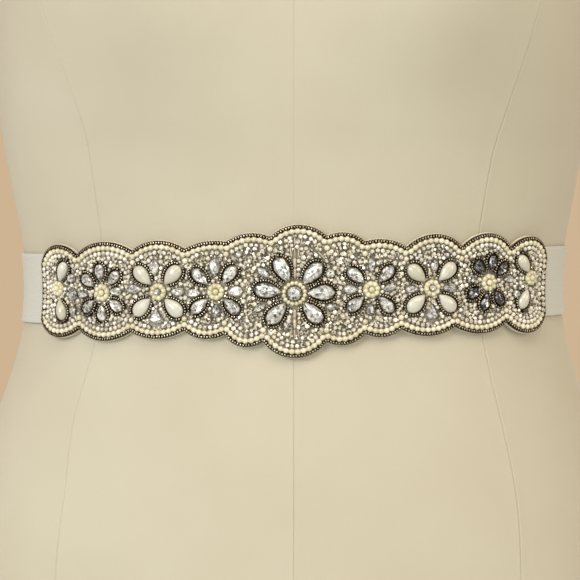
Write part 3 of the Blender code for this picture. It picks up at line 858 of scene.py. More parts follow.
@dataclass(frozen=True)
class FormShape:
    """The dress form's skin, the same as the solid's: levels joined by smooth curves.

    Attributes:
        belt_height: the belt's middle line over the floor.
        base: the board's thickness.
        gap: the clearance at each seat.
        levels: the table of sections.
        bust_height: how high over the belt the bust swells out, and bust_side how far aside.
        bust_reach: how far out it swells, and bust_spread how wide across and up.
        arm_cut: where the flat of the arm cuts the form, along X.
        arm_floor: the height over which it cuts.
    """

    belt_height: float = 300 * MM
    base: float = 10 * MM
    gap: float = 0.3 * MM
    levels: tuple[Level, ...] = tuple(Level(*row) for row in (
        (-290, 170, 107, 112, 0, 2.1),
        (-240, 180, 112, 122, 0, 2.1),
        (-190, 185, 116, 129, 0, 2.1),
        (-140, 181.5, 116, 127, 0, 2.1),
        (-100, 174, 113.5, 117.5),
        (-68, 163.2, 109, 108),
        (-49, 156.4, 106, 103),
        (-35, 152.5, 103.5, 99.8),
        (-22, 149.6, 101.6, 97.4),
        (-8, 148.2, 100.6, 96.2),
        (8, 148.5, 100.6, 96.2),
        (20, 150, 101.2, 96.9),
        (38, 153.3, 102.6, 98.6),
        (56, 156.6, 104.8, 101),
        (73, 159.8, 107.5, 103.6),
        (92, 162.6, 111, 106.5, 0, 2.05),
        (120, 165, 115, 110, 0, 2.1),
        (160, 166, 117, 113, 0, 2.15),
        (200, 166.5, 111.5, 113, 1, 2.2),
        (230, 170.5, 105, 112, 2, 2.25),
        (260, 180, 99, 110, 3, 2.3),
        (295, 187, 92, 106, 4, 2.3),
        (325, 184, 84, 99, 4, 2.25),
        (348, 172, 76, 90, 3, 2.2),
        (366, 152, 67, 81, 1, 2.1),
        (382, 124, 59, 72, -2, 2.05),
        (396, 93, 53, 63, -5),
        (408, 70, 49, 55, -8),
        (422, 59, 47, 50, -10),
        (442, 55, 46, 48, -12),
        (466, 54, 45.5, 47.5, -13),
    ))
    bust_height: float = 165 * MM
    bust_side: float = 84 * MM
    bust_reach: float = 19 * MM
    bust_spread: Pair = (52 * MM, 56 * MM)
    arm_cut: float = 170 * MM
    arm_floor: float = 420 * MM

    @property
    def foot(self) -> float:
        """The height of the form's lower rim."""
        return self.base + self.gap

    @property
    def head(self) -> float:
        """The height of the form's upper rim."""
        return self.belt_height + self.levels[-1].height * MM

    def section(self, z: Array) -> Array:
        """The half breadth, front, back, lean and square at heights z, a row each.

        Each is a cubic Hermite curve through the levels, whose slope at a level is the
        mean of the slopes beside it.
        """
        rows = np.array([astuple(level) for level in self.levels])
        rows[:, :-1] *= MM
        knots, values = rows[:, 0] + self.belt_height, rows[:, 1:]
        steps = np.diff(knots)
        slopes = np.diff(values, axis=0) / steps[:, None]
        tangents = np.vstack([slopes[:1], (slopes[1:] + slopes[:-1]) / 2, slopes[-1:]])
        place = np.clip(np.searchsorted(knots, z) - 1, 0, len(steps) - 1)
        h = steps[place][..., None]
        s = np.clip((z - knots[place])[..., None] / h, 0, 1)
        curve = (
            (2 * s**3 - 3 * s**2 + 1) * values[place]
            + (s**3 - 2 * s**2 + s) * h * tangents[place]
            + (3 * s**2 - 2 * s**3) * values[place + 1]
            + (s**3 - s**2) * h * tangents[place + 1]
        )
        return np.moveaxis(curve, -1, 0)

    def skin(self, angle: Array, z: Array) -> Array:
        """Points of the skin at angles from the front centre towards +X, and heights.

        Each section is two half superellipses that meet at the sides, and the bust is a
        Gaussian swelling on each side of the front.
        """
        angle, z = np.broadcast_arrays(np.asarray(angle, float), np.asarray(z, float))
        half_breadth, front, back, lean, square = self.section(z)
        sine, cosine = np.sin(angle), np.cos(angle)
        power = 2 / square
        x = half_breadth * np.sign(sine) * np.abs(sine) ** power
        depth = np.where(cosine > 0, front, back)
        y = -depth * np.sign(cosine) * np.abs(cosine) ** power + lean
        across = (np.abs(x) - self.bust_side) / self.bust_spread[0]
        up = (z - self.belt_height - self.bust_height) / self.bust_spread[1]
        forward = np.clip(cosine * 1.6, 0, 1)
        swelling = self.bust_reach * np.exp(-(across**2) - up**2) * forward**2 * (3 - 2 * forward)
        return np.stack([x, y - swelling, z], -1)

    def normal(self, angle: Array, z: Array) -> Array:
        """The skin's outward unit normal: the cross product of its two slopes."""
        turn, rise = 1e-4, 1e-5
        along = self.skin(angle + turn, z) - self.skin(angle - turn, z)
        upward = self.skin(angle, z + rise) - self.skin(angle, z - rise)
        return unit(np.cross(along, upward))

    def arm_hole(self, count: int) -> Array:
        """The oval where the flat of the arm cuts the form, as (y, z) points round it."""
        z = np.linspace(self.belt_height + 200 * MM, self.belt_height + 380 * MM, 1441)
        half_breadth, front, back, lean, square = self.section(z)
        inside = half_breadth > self.arm_cut
        sine = (self.arm_cut / half_breadth[inside]) ** (square[inside] / 2)
        reach = np.sqrt(1 - sine**2) ** (2 / square[inside])
        fore = np.column_stack([lean[inside] - front[inside] * reach, z[inside]])
        aft = np.column_stack([lean[inside] + back[inside] * reach, z[inside]])
        return even_points(np.vstack([fore, aft[::-1], fore[:1]]), count=count + 1)[0][:-1]


def even_points(
    path: Array, step: float | None = None, count: int | None = None
) -> tuple[Array, Array]:
    """Points at equal lengths along a path, and the direction of the path at each.

    Args:
        path: the path's own points.
        step: the wanted distance between points, rounded so that they fit.
        count: how many points, where step isn't given.

    Returns:
        The points, and the unit tangents at them.
    """
    lengths = lengths_along(path)
    if count is None:
        count = max(2, round(lengths[-1] / step) + 1)
    places = np.linspace(0, lengths[-1], count)
    span = lengths[-1] / (count * 4)
    points, ahead, behind = (
        np.stack([np.interp(places + shift, lengths, column) for column in path.T], 1)
        for shift in (0, span, -span)
    )
    return points, unit(ahead - behind)


@dataclass
class Waist:
    """Wraps flat belt coordinates round the form.

    Attributes:
        form: the form's shape.
        clearance: the gap between the skin and the belt.
        line_offset: how far off the skin the belt's lengths are measured.
        roll: how much the belt's plane rises towards +X.
        pitch: how much it falls towards the back.
    """

    form: FormShape
    clearance: float = 0.6 * MM
    line_offset: float = 3.6 * MM
    roll: float = 0.0144
    pitch: float = 0.0278
    angles: Array = field(init=False)
    lengths: Array = field(init=False)

    def __post_init__(self) -> None:
        """Measures the belt's line from the front centre to the back."""
        self.angles = np.linspace(0, np.pi, 2001)
        level = np.full_like(self.angles, self.form.belt_height)
        line = self.form.skin(self.angles, level) + self.form.normal(self.angles, level) * self.line_offset
        self.lengths = lengths_along(line)

    @property
    def half_girth(self) -> float:
        """The length from the front centre to the back centre."""
        return float(self.lengths[-1])

    def on_skin(self, u: Array, v: Array) -> tuple[Array, Array]:
        """The angle and the height of the skin under (u, v)."""
        angle = np.sign(u) * np.interp(np.abs(u), self.lengths, self.angles)
        level = self.form.skin(angle, np.full_like(angle, self.form.belt_height))
        front = self.form.skin(0.0, self.form.belt_height)[1]
        z = self.form.belt_height + v + level[..., 0] * self.roll - (level[..., 1] - front) * self.pitch
        return angle, z

    def wrap(self, u: Array, v: Array, w: Array) -> Array:
        """The place in space of belt coordinates: a skin point moved out along its normal."""
        u, v, w = np.broadcast_arrays(*(np.asarray(x, float) for x in (u, v, w)))
        angle, z = self.on_skin(u, v)
        return self.form.skin(angle, z) + self.form.normal(angle, z) * (w + self.clearance)[..., None]

    def set_on(self, solid: Solid, places: Array, turns: Array, sizes: Array, tilts: Array) -> Array:
        """Places copies of a solid on the belt, each rigid and square to the cloth.

        Args:
            solid: the shape.
            places: (u, v, w) of each copy's origin.
            turns: each copy's turn in the cloth's plane.
            sizes: each copy's scale.
            tilts: how far each copy's outward axis leans along and across.

        Returns:
            The copies' points, one copy a row.
        """
        u, v, w = places.T
        reach = 0.4 * MM
        origin = self.wrap(u, v, w)
        along = unit(self.wrap(u + reach, v, w) - self.wrap(u - reach, v, w))
        outward = self.form.normal(*self.on_skin(u, v))
        upward = np.cross(outward, along)
        outward = unit(outward + along * tilts[:, :1] + upward * tilts[:, 1:])
        along = unit(np.cross(upward, outward))
        upward = np.cross(outward, along)
        cos, sin = np.cos(turns)[:, None], np.sin(turns)[:, None]
        first, second = along * cos + upward * sin, upward * cos - along * sin
        shape = solid.points[None] * sizes[:, None, None]
        return origin[:, None] + shape @ np.stack([first, second, outward], 1)


def carry_uv(piece: Piece, layer: str, places: Array) -> None:
    """Writes a UV map from one pair for each vertex.

    Args:
        piece: the mesh object.
        layer: the map's name.
        places: the pairs, in metres.
    """
    mesh = piece.data
    corners = np.empty(len(mesh.loops), np.int32)
    mesh.loops.foreach_get("vertex_index", corners)
    mesh.uv_layers.new(name=layer)
    mesh.uv_layers[layer].data.foreach_set("uv", places[corners].astype(np.float32).ravel())


def solid_piece(name: str, solid: Solid, smooth: bool = True) -> Piece:
    """Makes one solid, in its final place, an object."""
    return make_piece(name, solid.points, solid.corners, solid.sizes, smooth)


def joined(solids: Sequence[Solid]) -> Solid:
    """Returns several solids as one."""
    faces, start = [], 0
    for solid in solids:
        faces += [tuple(start + corner for corner in face) for face in solid.faces]
        start += len(solid.points)
    return Solid(np.vstack([solid.points for solid in solids]), tuple(faces))


@dataclass(frozen=True)
class Arcs:
    """One long edge of the panel: arcs that rise to crests and meet in notches.

    Attributes:
        crests: the arcs' heights from the middle line in mm, left to right.
        notches: (u, height) of each notch between two arcs, in mm.
        drops: how far the edge has fallen at the panel's left and right ends, in mm.
        sign: 1 for the upper edge and -1 for the lower.
    """

    crests: tuple[float, ...]
    notches: tuple[Pair, ...]
    drops: Pair
    sign: int

    def circles(self, end: float) -> list[tuple[float, float, float]]:
        """(centre u, centre v, radius) of each arc, in metres.

        A notch k below a crest is sqrt(k (2r - k)) from the centre along u, so halving
        finds the radius whose arc passes through both notches.
        """
        left_end = (-end / MM, self.crests[0] - self.drops[0])
        right_end = (end / MM, self.crests[-1] - self.drops[1])
        corners = [left_end, *self.notches, right_end]
        found = []
        for left, right, crest in zip(corners, corners[1:], self.crests):
            drops = (crest - left[1], crest - right[1])
            low, high = max(drops) / 2, 1000.0
            for _ in range(60):
                radius = (low + high) / 2
                reach = [math.sqrt(max(k * (2 * radius - k), 0)) for k in drops]
                low, high = (radius, high) if sum(reach) < right[0] - left[0] else (low, radius)
            found.append(((left[0] + reach[0]) * MM, (crest - radius) * MM, radius * MM))
        return found

    def points(self, panel_end: float, inset: float, margin: float, step: float) -> Array:
        """Points along the edge, left to right, drawn in by the inset.

        An arc keeps its angles and loses the inset from its radius, and an arc with the
        inset as its radius goes round each notch.

        Args:
            panel_end: half the panel's length.
            inset: how far the points are drawn in.
            margin: how much further they are drawn in at the ends.
            step: the points' spacing.

        Returns:
            The points, a row each.
        """
        circles = self.circles(panel_end)
        end = panel_end - inset - (margin if inset else 0)
        notches = np.array(self.notches) * MM
        points = []
        for place, (cu, cv, radius) in enumerate(circles):
            reach = radius - inset
            start, stop = (np.arccos(np.clip((tip - cu) / reach, -1, 1)) for tip in (-end, end))
            if place > 0:
                start = bearing((cu, cv), notches[place - 1])
            if place < len(notches):
                stop = bearing((cu, cv), notches[place])
            turns = np.linspace(start, stop, max(3, round((start - stop) * reach / step)) + 1)
            points.append((cu, cv) + reach * heading(turns))
            if place < len(notches):
                notch = notches[place]
                first, last = bearing(notch, (cu, cv)), bearing(notch, circles[place + 1])
                turns = np.linspace(first, last, max(1, round((last - first) * inset / step)) + 1)
                points.append(notch + inset * heading(turns[1:-1]))
        return np.vstack(points) * (1, self.sign)


@dataclass(frozen=True)
class PanelShape:
    """The felt panel's flat outline, as the solid has it, with its rows drawn inside."""

    end: float = 150.8 * MM
    end_margin: float = 0.4 * MM
    lift: float = 1.5 * MM
    lift_start: float = 118 * MM
    lift_end: float = 136.8 * MM
    top: Arcs = Arcs(
        (26.4, 27.5, 27.8, 27.3, 31.1, 35.2, 30.9, 27.1, 29.3, 29.3, 27.4),
        ((-122.1, 21.1), (-86.7, 22.8), (-57.1, 23.4), (-35.1, 26.7), (-12.3, 29.1),
         (16.9, 29.2), (36.7, 26.0), (58.8, 22.8), (90.1, 22.6), (121.5, 21.9)),
        (12.4, 15.2), 1,
    )
    low: Arcs = Arcs(
        (24.9, 26.2, 24.9, 25.1, 29.5, 35.4, 29.2, 25.4, 25.3, 24.9, 25.9),
        ((-120.9, 20.2), (-87.7, 21.2), (-57.8, 20.6), (-36.3, 22.9), (-16.0, 26.9),
         (16.9, 27.4), (37.2, 23.3), (56.5, 21.4), (86.7, 20.8), (119.7, 19.4)),
        (10.3, 11.8), -1,
    )

    def area(self) -> float:
        """The flat panel's area, from its outline."""
        loop = self.loop(0.0, MM)
        return abs(np.cross(loop, np.roll(loop, -1, 0)).sum()) / 2

    def side(self, arcs: Arcs, inset: float, step: float) -> Array:
        """Points along one long edge at the inset."""
        return arcs.points(self.end, inset, self.end_margin, step)

    def loop(self, inset: float, step: float) -> Array:
        """The closed outline at the inset, anticlockwise, its first point not repeated."""
        low = self.side(self.low, inset, step)
        high = self.side(self.top, inset, step)[::-1]
        sides = []
        for a, b in ((low[-1], high[0]), (high[-1], low[0])):
            count = max(2, round(abs(b[1] - a[1]) / step))
            share = np.linspace(0, 1, count + 1)[1:-1, None]
            sides.append(a + share * (b - a))
        loop = np.concatenate([low, sides[0], high, sides[1]])
        return loop[np.linalg.norm(loop - np.roll(loop, 1, 0), axis=1) > 0.02 * MM]

    def row(self, inset: float, pitch: float) -> tuple[Array, Array]:
        """Evenly spaced places of a bead row at the inset, and the row's directions."""
        loop = self.loop(inset, 0.4 * MM)
        points, tangents = even_points(np.vstack([loop, loop[:1]]), step=pitch)
        return points[:-1], tangents[:-1]

    def inside(self, points: Array, inset: float) -> Array:
        """Which points lie within the outline drawn in by the inset."""
        high = self.side(self.top, inset, MM)
        low = self.side(self.low, inset, MM)
        below = points[:, 1] < np.interp(points[:, 0], high[:, 0], high[:, 1])
        above = points[:, 1] > np.interp(points[:, 0], low[:, 0], low[:, 1])
        return below & above & (np.abs(points[:, 0]) < self.end - inset)

    def stand_off(self, u: Array) -> Array:
        """How far the panel stands off where a strap's end is tucked under it."""
        share = np.clip((np.abs(u) - self.lift_start) / (self.lift_end - self.lift_start), 0, 1)
        return self.lift * share**2 * (3 - 2 * share)


class Petal(Enum):
    """What a flower's petals are, with the painted facet reflections of those that are stones."""

    CLEAR = Foil(0.12, 0.42, 0.25)
    SMOKY = Foil(0.5, 0.34, 0.3)
    PEARL = None


@dataclass(frozen=True)
class Flower:
    """One flower of the beadwork, in millimetres.

    Attributes:
        u: its middle's length along the belt.
        v: its middle's height.
        size: a petal's length and width.
        reach: how far out the petals' middles sit.
        boss: the radius of the cluster in its middle, or 0.
        petal: what its petals are.
        angles: the petals' directions in degrees.
    """

    u: float
    v: float
    size: Pair
    reach: float
    boss: float
    petal: Petal
    angles: tuple[float, ...]

    @property
    def middle(self) -> Array:
        """The flower's middle on the flat belt, in metres."""
        return np.array([self.u, self.v]) * MM


FLOWERS = tuple(Flower(*row) for row in (
    (-136.1, 2.3, (11.6, 6.5), 10.1, 4.4, Petal.PEARL, (66,)),
    (-136.1, 2.3, (11.6, 6.5), 12.3, 0, Petal.PEARL, (-75,)),
    (-106.1, 0, (9.5, 6), 10.9, 4.9, Petal.CLEAR, (46, 94, 144, 221, 273, 322)),
    (-72.6, 0.4, (12.8, 8), 12.0, 4.8, Petal.PEARL, (47, 134, 222, 316)),
    (-41.0, 0.3, (11.4, 6.7), 11.3, 4.7, Petal.CLEAR, (51, 136, 221, 317)),
    (0.2, -1.1, (14.6, 8.3), 13.8, 7.2, Petal.CLEAR, (1, 48, 115.6, 173, 229, 312)),
    (40.6, 0.3, (11.2, 6.6), 11.1, 4.7, Petal.CLEAR, (47, 138, 221, 314)),
    (73.8, 0.5, (12.6, 7.9), 11.8, 4.8, Petal.PEARL, (46, 138, 222, 317)),
    (107.9, 2.7, (9.2, 5.8), 10.5, 4.9, Petal.SMOKY, (42, 84, 129, 209, 256, 306)),
    (136.7, 4.7, (11.6, 6.7), 9.7, 4.4, Petal.PEARL, (128,)),
    (136.7, 4.7, (11.6, 6.7), 12.6, 0, Petal.PEARL, (246,)),
))


@dataclass(frozen=True)
class SmallStone:
    """A smaller sewn stone between the flowers, in millimetres.

    Attributes:
        u: its length along the belt.
        v: its height.
        cut: its outline.
        size: its length and width.
        turn: where its round end points, in degrees.
        bright: how bright its painted facet reflections are, from 0 to 1.
    """

    u: float
    v: float
    cut: Cut
    size: Pair
    turn: float
    bright: float


SMALL_STONES = tuple(SmallStone(*row) for row in (
    (-125.4, -1.1, Cut.ROUND, (6, 6), 20, 0.35),
    (-118.3, -1, Cut.PEAR, (7, 4), 180, 0.75),
    (-126.2, 7.8, Cut.ROUND, (5, 5), 0, 0.55),
    (-124.8, -10, Cut.ROUND, (4.4, 4.4), 50, 0.7),
    (-97.3, 0.6, Cut.PEAR, (7, 5), 0, 0.7),
    (-74.2, 13.1, Cut.PEAR, (8.3, 5.7), 90, 0.8),
    (-73.4, -12.4, Cut.TRIANGLE, (8.4, 9.0), 270, 0.75),
    (-85.9, 2, Cut.PEAR, (9, 5), 180, 0.7),
    (-61.9, 0.5, Cut.PEAR, (7.5, 5), 0, 0.7),
    (-52.6, -0.4, Cut.PEAR, (8, 5), 180, 0.7),
    (-41.3, 12.9, Cut.PEAR, (10, 6), 90, 0.62),
    (-40.6, -9.8, Cut.PEAR, (7, 5), 270, 0.4),
    (-30.7, 0.4, Cut.PEAR, (8, 6), 0, 0.85),
    (-28.4, 20, Cut.ROUND, (3.5, 3.5), 0, 0.9),
    (-15.9, 10.3, Cut.MARQUISE, (8, 4.5), -40, 0.7),
    (-18, -8.4, Cut.MARQUISE, (8, 4), 30, 0.65),
    (18.9, 9.3, Cut.ROUND, (5, 5), 0, 0.9),
    (19.7, -8.6, Cut.MARQUISE, (7.5, 4), 0, 0.4),
    (29.6, 0.5, Cut.PEAR, (8, 5), 180, 0.7),
    (50.3, 1.2, Cut.PEAR, (7, 4.5), 20, 0.7),
    (40.4, 13.3, Cut.PEAR, (8, 4), 90, 0.7),
    (40, -10.2, Cut.PEAR, (6, 5), 270, 0.4),
    (62.5, 0.2, Cut.PEAR, (7, 4), 180, 0.7),
    (74.4, 12, Cut.PEAR, (7, 4), 90, 0.7),
    (73.4, -12.2, Cut.TRIANGLE, (8.6, 8.6), 270, 0.5),
    (83.9, 0.3, Cut.PEAR, (8, 5), 0, 0.4),
    (96.5, 4.8, Cut.ROUND, (5, 5), 0, 0.2),
    (120.8, 4.4, Cut.PEAR, (6.5, 4), 0, 0.6),
    (126.3, -4, Cut.ROUND, (4.6, 4.6), 0, 0.6),
))


@dataclass(frozen=True)
class Stick:
    """A bugle bead, in millimetres: its middle, its length and its direction."""

    u: float
    v: float
    length: float
    turn: float
    width: float = 1.5


STICKS = (
    *(Stick(0.4, v, 5.2, 90, 1.9) for v in (9.6, 15.0)),
    *(Stick(0.4 + 2.0 * k, 20.8 - 0.25 * k * k, 5.4, 90 - 8 * k, 0.8) for k in (-1, 0, 1)),
    *(Stick(0.4 + 3.4 * k, 26.4 - 0.35 * k * k, 4.2, 90 - 12 * k, 0.7) for k in (-1, 0, 1)),
    *(Stick(0.4, v, 5.0, 90, 1.7) for v in (-12.0, -17.2)),
    *(Stick(0.4 + 2.0 * k, -22.6 + 0.2 * k * k, 5.0, 90 + 8 * k, 0.75) for k in (-1, 0, 1)),
    Stick(13.6, 19.4, 4.0, -48, 0.9),
    Stick(14.9, 18.0, 3.4, -48, 0.8),
)


class Ground:
    """Keeps account of what is sewn on the panel, so that beads don't run together."""

    def __init__(self, shape: PanelShape) -> None:
        """Lays a fine grid of open places over the panel.

        Args:
            shape: the panel's outline.
        """
        self.step = 0.4 * MM
        self.start = np.array([-shape.end, -36.5 * MM])
        counts = (np.array([shape.end, 36.5 * MM]) - self.start) // self.step
        self.counts = counts.astype(int) + 1
        grid = np.stack(np.meshgrid(*(np.arange(n) for n in self.counts), indexing="ij"), -1)
        self.places = self.start + grid * self.step
        inside = shape.inside(self.places.reshape(-1, 2), 4.9 * MM).reshape(self.counts)
        self.room = np.where(inside, 20 * MM, -1.0)
        self.discs: list[tuple[float, float, float]] = []

    def block(self, points: Array, radii: Array | float) -> None:
        """Takes up discs of the panel.

        Args:
            points: the discs' middles.
            radii: their radii.
        """
        for (u, v), radius in zip(points, np.broadcast_to(radii, len(points))):
            self.discs.append((u, v, radius))
            reach = radius + 5 * MM
            low = np.maximum(((np.array([u, v]) - reach - self.start) / self.step).astype(int), 0)
            high = ((np.array([u, v]) + reach - self.start) / self.step).astype(int) + 1
            window = (slice(low[0], high[0]), slice(low[1], high[1]))
            away = np.linalg.norm(self.places[window] - (u, v), axis=-1) - radius
            self.room[window] = np.minimum(self.room[window], away)

    def is_free(self, points: Array, radius: float) -> Array:
        """Which points have room for a bead of that radius."""
        taken = np.array(self.discs)
        away = np.linalg.norm(points[:, None] - taken[None, :, :2], axis=2) - taken[None, :, 2]
        return away.min(1) > radius

    def pack(self, radii: Sequence[float]) -> Array:
        """Puts beads one by one where they fit most closely between the others.

        Args:
            radii: the beads' radii, in the order that they are tried.

        Returns:
            (u, v, radius) of each bead that found a place.
        """
        found = []
        for radius in radii:
            fits = np.where(self.room >= radius, self.room, np.inf)
            place = np.unravel_index(fits.argmin(), fits.shape)
            if not np.isfinite(fits[place]):
                continue
            u, v = self.places[place]
            found.append((u, v, radius))
            self.block(np.array([[u, v]]), radius)
        return np.array(found)


@dataclass
class Beadwork:
    """The felt panel and all that is sewn on it.

    Attributes:
        felt: the felt's thickness.
        bed: how high the bed of threads lies.
        seed_pitch: the spacing of the dark seed beads.
        seed_inset: how far the border's seeds sit from the edge.
        pearl_inset: how far the border's pearls sit from the edge.
        pearl_radius: the border pearls' radius.
        stone_height: how high the large stones are.
        stone_foot: how far out the large stones stand.
    """

    waist: Waist
    shape: PanelShape = PanelShape()
    felt: float = 1.6 * MM
    bed: float = 2.1 * MM
    seed_pitch: float = 1.45 * MM
    seed_inset: float = 1.35 * MM
    pearl_inset: float = 3.45 * MM
    pearl_radius: float = 1.53 * MM
    stone_height: float = 3.3 * MM
    stone_foot: float = 2.25 * MM
    ground: Ground = field(init=False)

    def __post_init__(self) -> None:
        """Opens the account of what is sewn on."""
        self.ground = Ground(self.shape)

    def copies(
        self,
        solid: Solid,
        flat: Array,
        height: Array | float,
        turns: Array | float = 0.0,
        sizes: Array | float = 1.0,
        tilt: float = 0.0,
        foil: Toning | None = None,
        seed: int = 1,
    ) -> Batch:
        """Sews copies of a solid on the panel.

        Args:
            solid: the shape.
            flat: the copies' (u, v).
            height: how far out from the panel's inner side their origins are.
            turns: their turns in the cloth's plane.
            sizes: their scales.
            tilt: how far they lean at random.
            foil: how each face's tone is drawn, as painted reflections, highlights and shade, or None for
                one random tone a copy.
            seed: the seed of the random draws.

        Returns:
            The batch of copies.
        """
        rng = np.random.default_rng(seed)
        count = len(flat)
        w = height + self.shape.stand_off(flat[:, 0])
        lean = rng.normal(0, 1, (count, 2)) * tilt
        places = np.column_stack([flat, np.broadcast_to(w, count)])
        turns, sizes = np.broadcast_to(turns, count), np.broadcast_to(sizes, count)
        points = self.waist.set_on(solid, places, turns, sizes, lean)
        if foil:
            return Batch(solid, points, foil.draw(rng, solid, count))
        shades = rng.uniform(0, 1, (count, 1))
        return Batch(solid, points, np.broadcast_to(shades, (count, len(solid.faces))))

    def hold(self, cut: Cut, size: Sequence[float], middle: Array, turn: float) -> None:
        """Takes up the ground under a stone of that cut and size, at its middle and turn."""
        along, radii = cut.discs(*size)
        self.ground.block(middle + along[:, None] * heading(turn), radii)

    def net(
        self, rim: Array, reach: int, spacing: float, inset: float
    ) -> tuple[Array, list[tuple[int, ...]]]:
        """Triangles over an outline and a grid of points inside it.

        Args:
            rim: the outline's points, anticlockwise.
            reach: how far to each side the grid goes, in mm.
            spacing: the grid's spacing, in mm.
            inset: how far inside the panel's edge the grid stays.

        Returns:
            The points, the outline's own first, and the triangles.
        """
        across = np.arange(-reach, reach + 1, spacing)
        grid = np.stack(np.meshgrid(across, np.arange(-34, 35, spacing)), -1).reshape(-1, 2) * MM
        flat = np.vstack([rim, grid[self.shape.inside(grid, inset)]])
        edges = [(i, (i + 1) % len(rim)) for i in range(len(rim))]
        found = delaunay_2d_cdt([Vector(point) for point in flat], edges, [], 1, 1e-8)
        sources = [source[0] for source in found[3]]
        return flat, [tuple(sources[i] for i in face) for face in found[2]]

    def build_felt(self) -> Piece:
        """The felt: its rim rounded, flat outside, following the waist inside."""
        rim, along = self.shape.row(0.0, 1.1 * MM)
        outward = np.column_stack([along[:, 1], -along[:, 0]])
        steps = ((0.45, 0.0), (0.1, 0.3), (0.0, 0.8), (0.1, 1.3), (0.45, 1.6))
        loops = [rim - outward * inset * MM for inset, _ in steps]
        count = len(rim)
        flat, faces = self.net(loops[0], 152, 4.5, 2.2 * MM)
        lift = self.shape.stand_off
        layers = [
            self.waist.wrap(*loop.T, height * MM + lift(loop[:, 0]))
            for loop, (_, height) in zip(loops, steps)
        ]
        inner = flat[count:]
        sides = [self.waist.wrap(*inner.T, height + lift(inner[:, 0])) for height in (0, self.felt)]
        last = (len(steps) - 1) * count
        ring, loose = np.arange(count), np.arange(len(inner)) + last + count
        under = np.concatenate([ring, loose])
        over = np.concatenate([ring + last, loose + len(inner)])
        shell = lofted(np.stack(layers)).faces[2:]
        shell += tuple(tuple(int(under[i]) for i in reversed(face)) for face in faces)
        shell += tuple(tuple(int(over[i]) for i in face) for face in faces)
        return solid_piece("felt_panel", Solid(np.vstack([*layers, *sides]), shell))

    def build_bed(self) -> Piece:
        """The bed of crossing threads that the beads are sewn through; its dark colour is partly painted
        shade in the gaps.
        """
        rim = self.shape.row(0.95 * MM, 1.4 * MM)[0]
        flat, faces = self.net(rim, 150, 4, 2.8 * MM)
        lift = self.shape.stand_off(flat[:, 0])
        low, high = (self.waist.wrap(*flat.T, out + lift) for out in (self.felt - 0.3 * MM, self.bed))
        start, count = len(flat), len(rim)
        shell = [tuple(reversed(face)) for face in faces]
        shell += [tuple(start + i for i in face) for face in faces]
        shell += [(i, (i + 1) % count, start + (i + 1) % count, start + i) for i in range(count)]
        return solid_piece("thread_bed", Solid(np.vstack([low, high]), tuple(shell)))


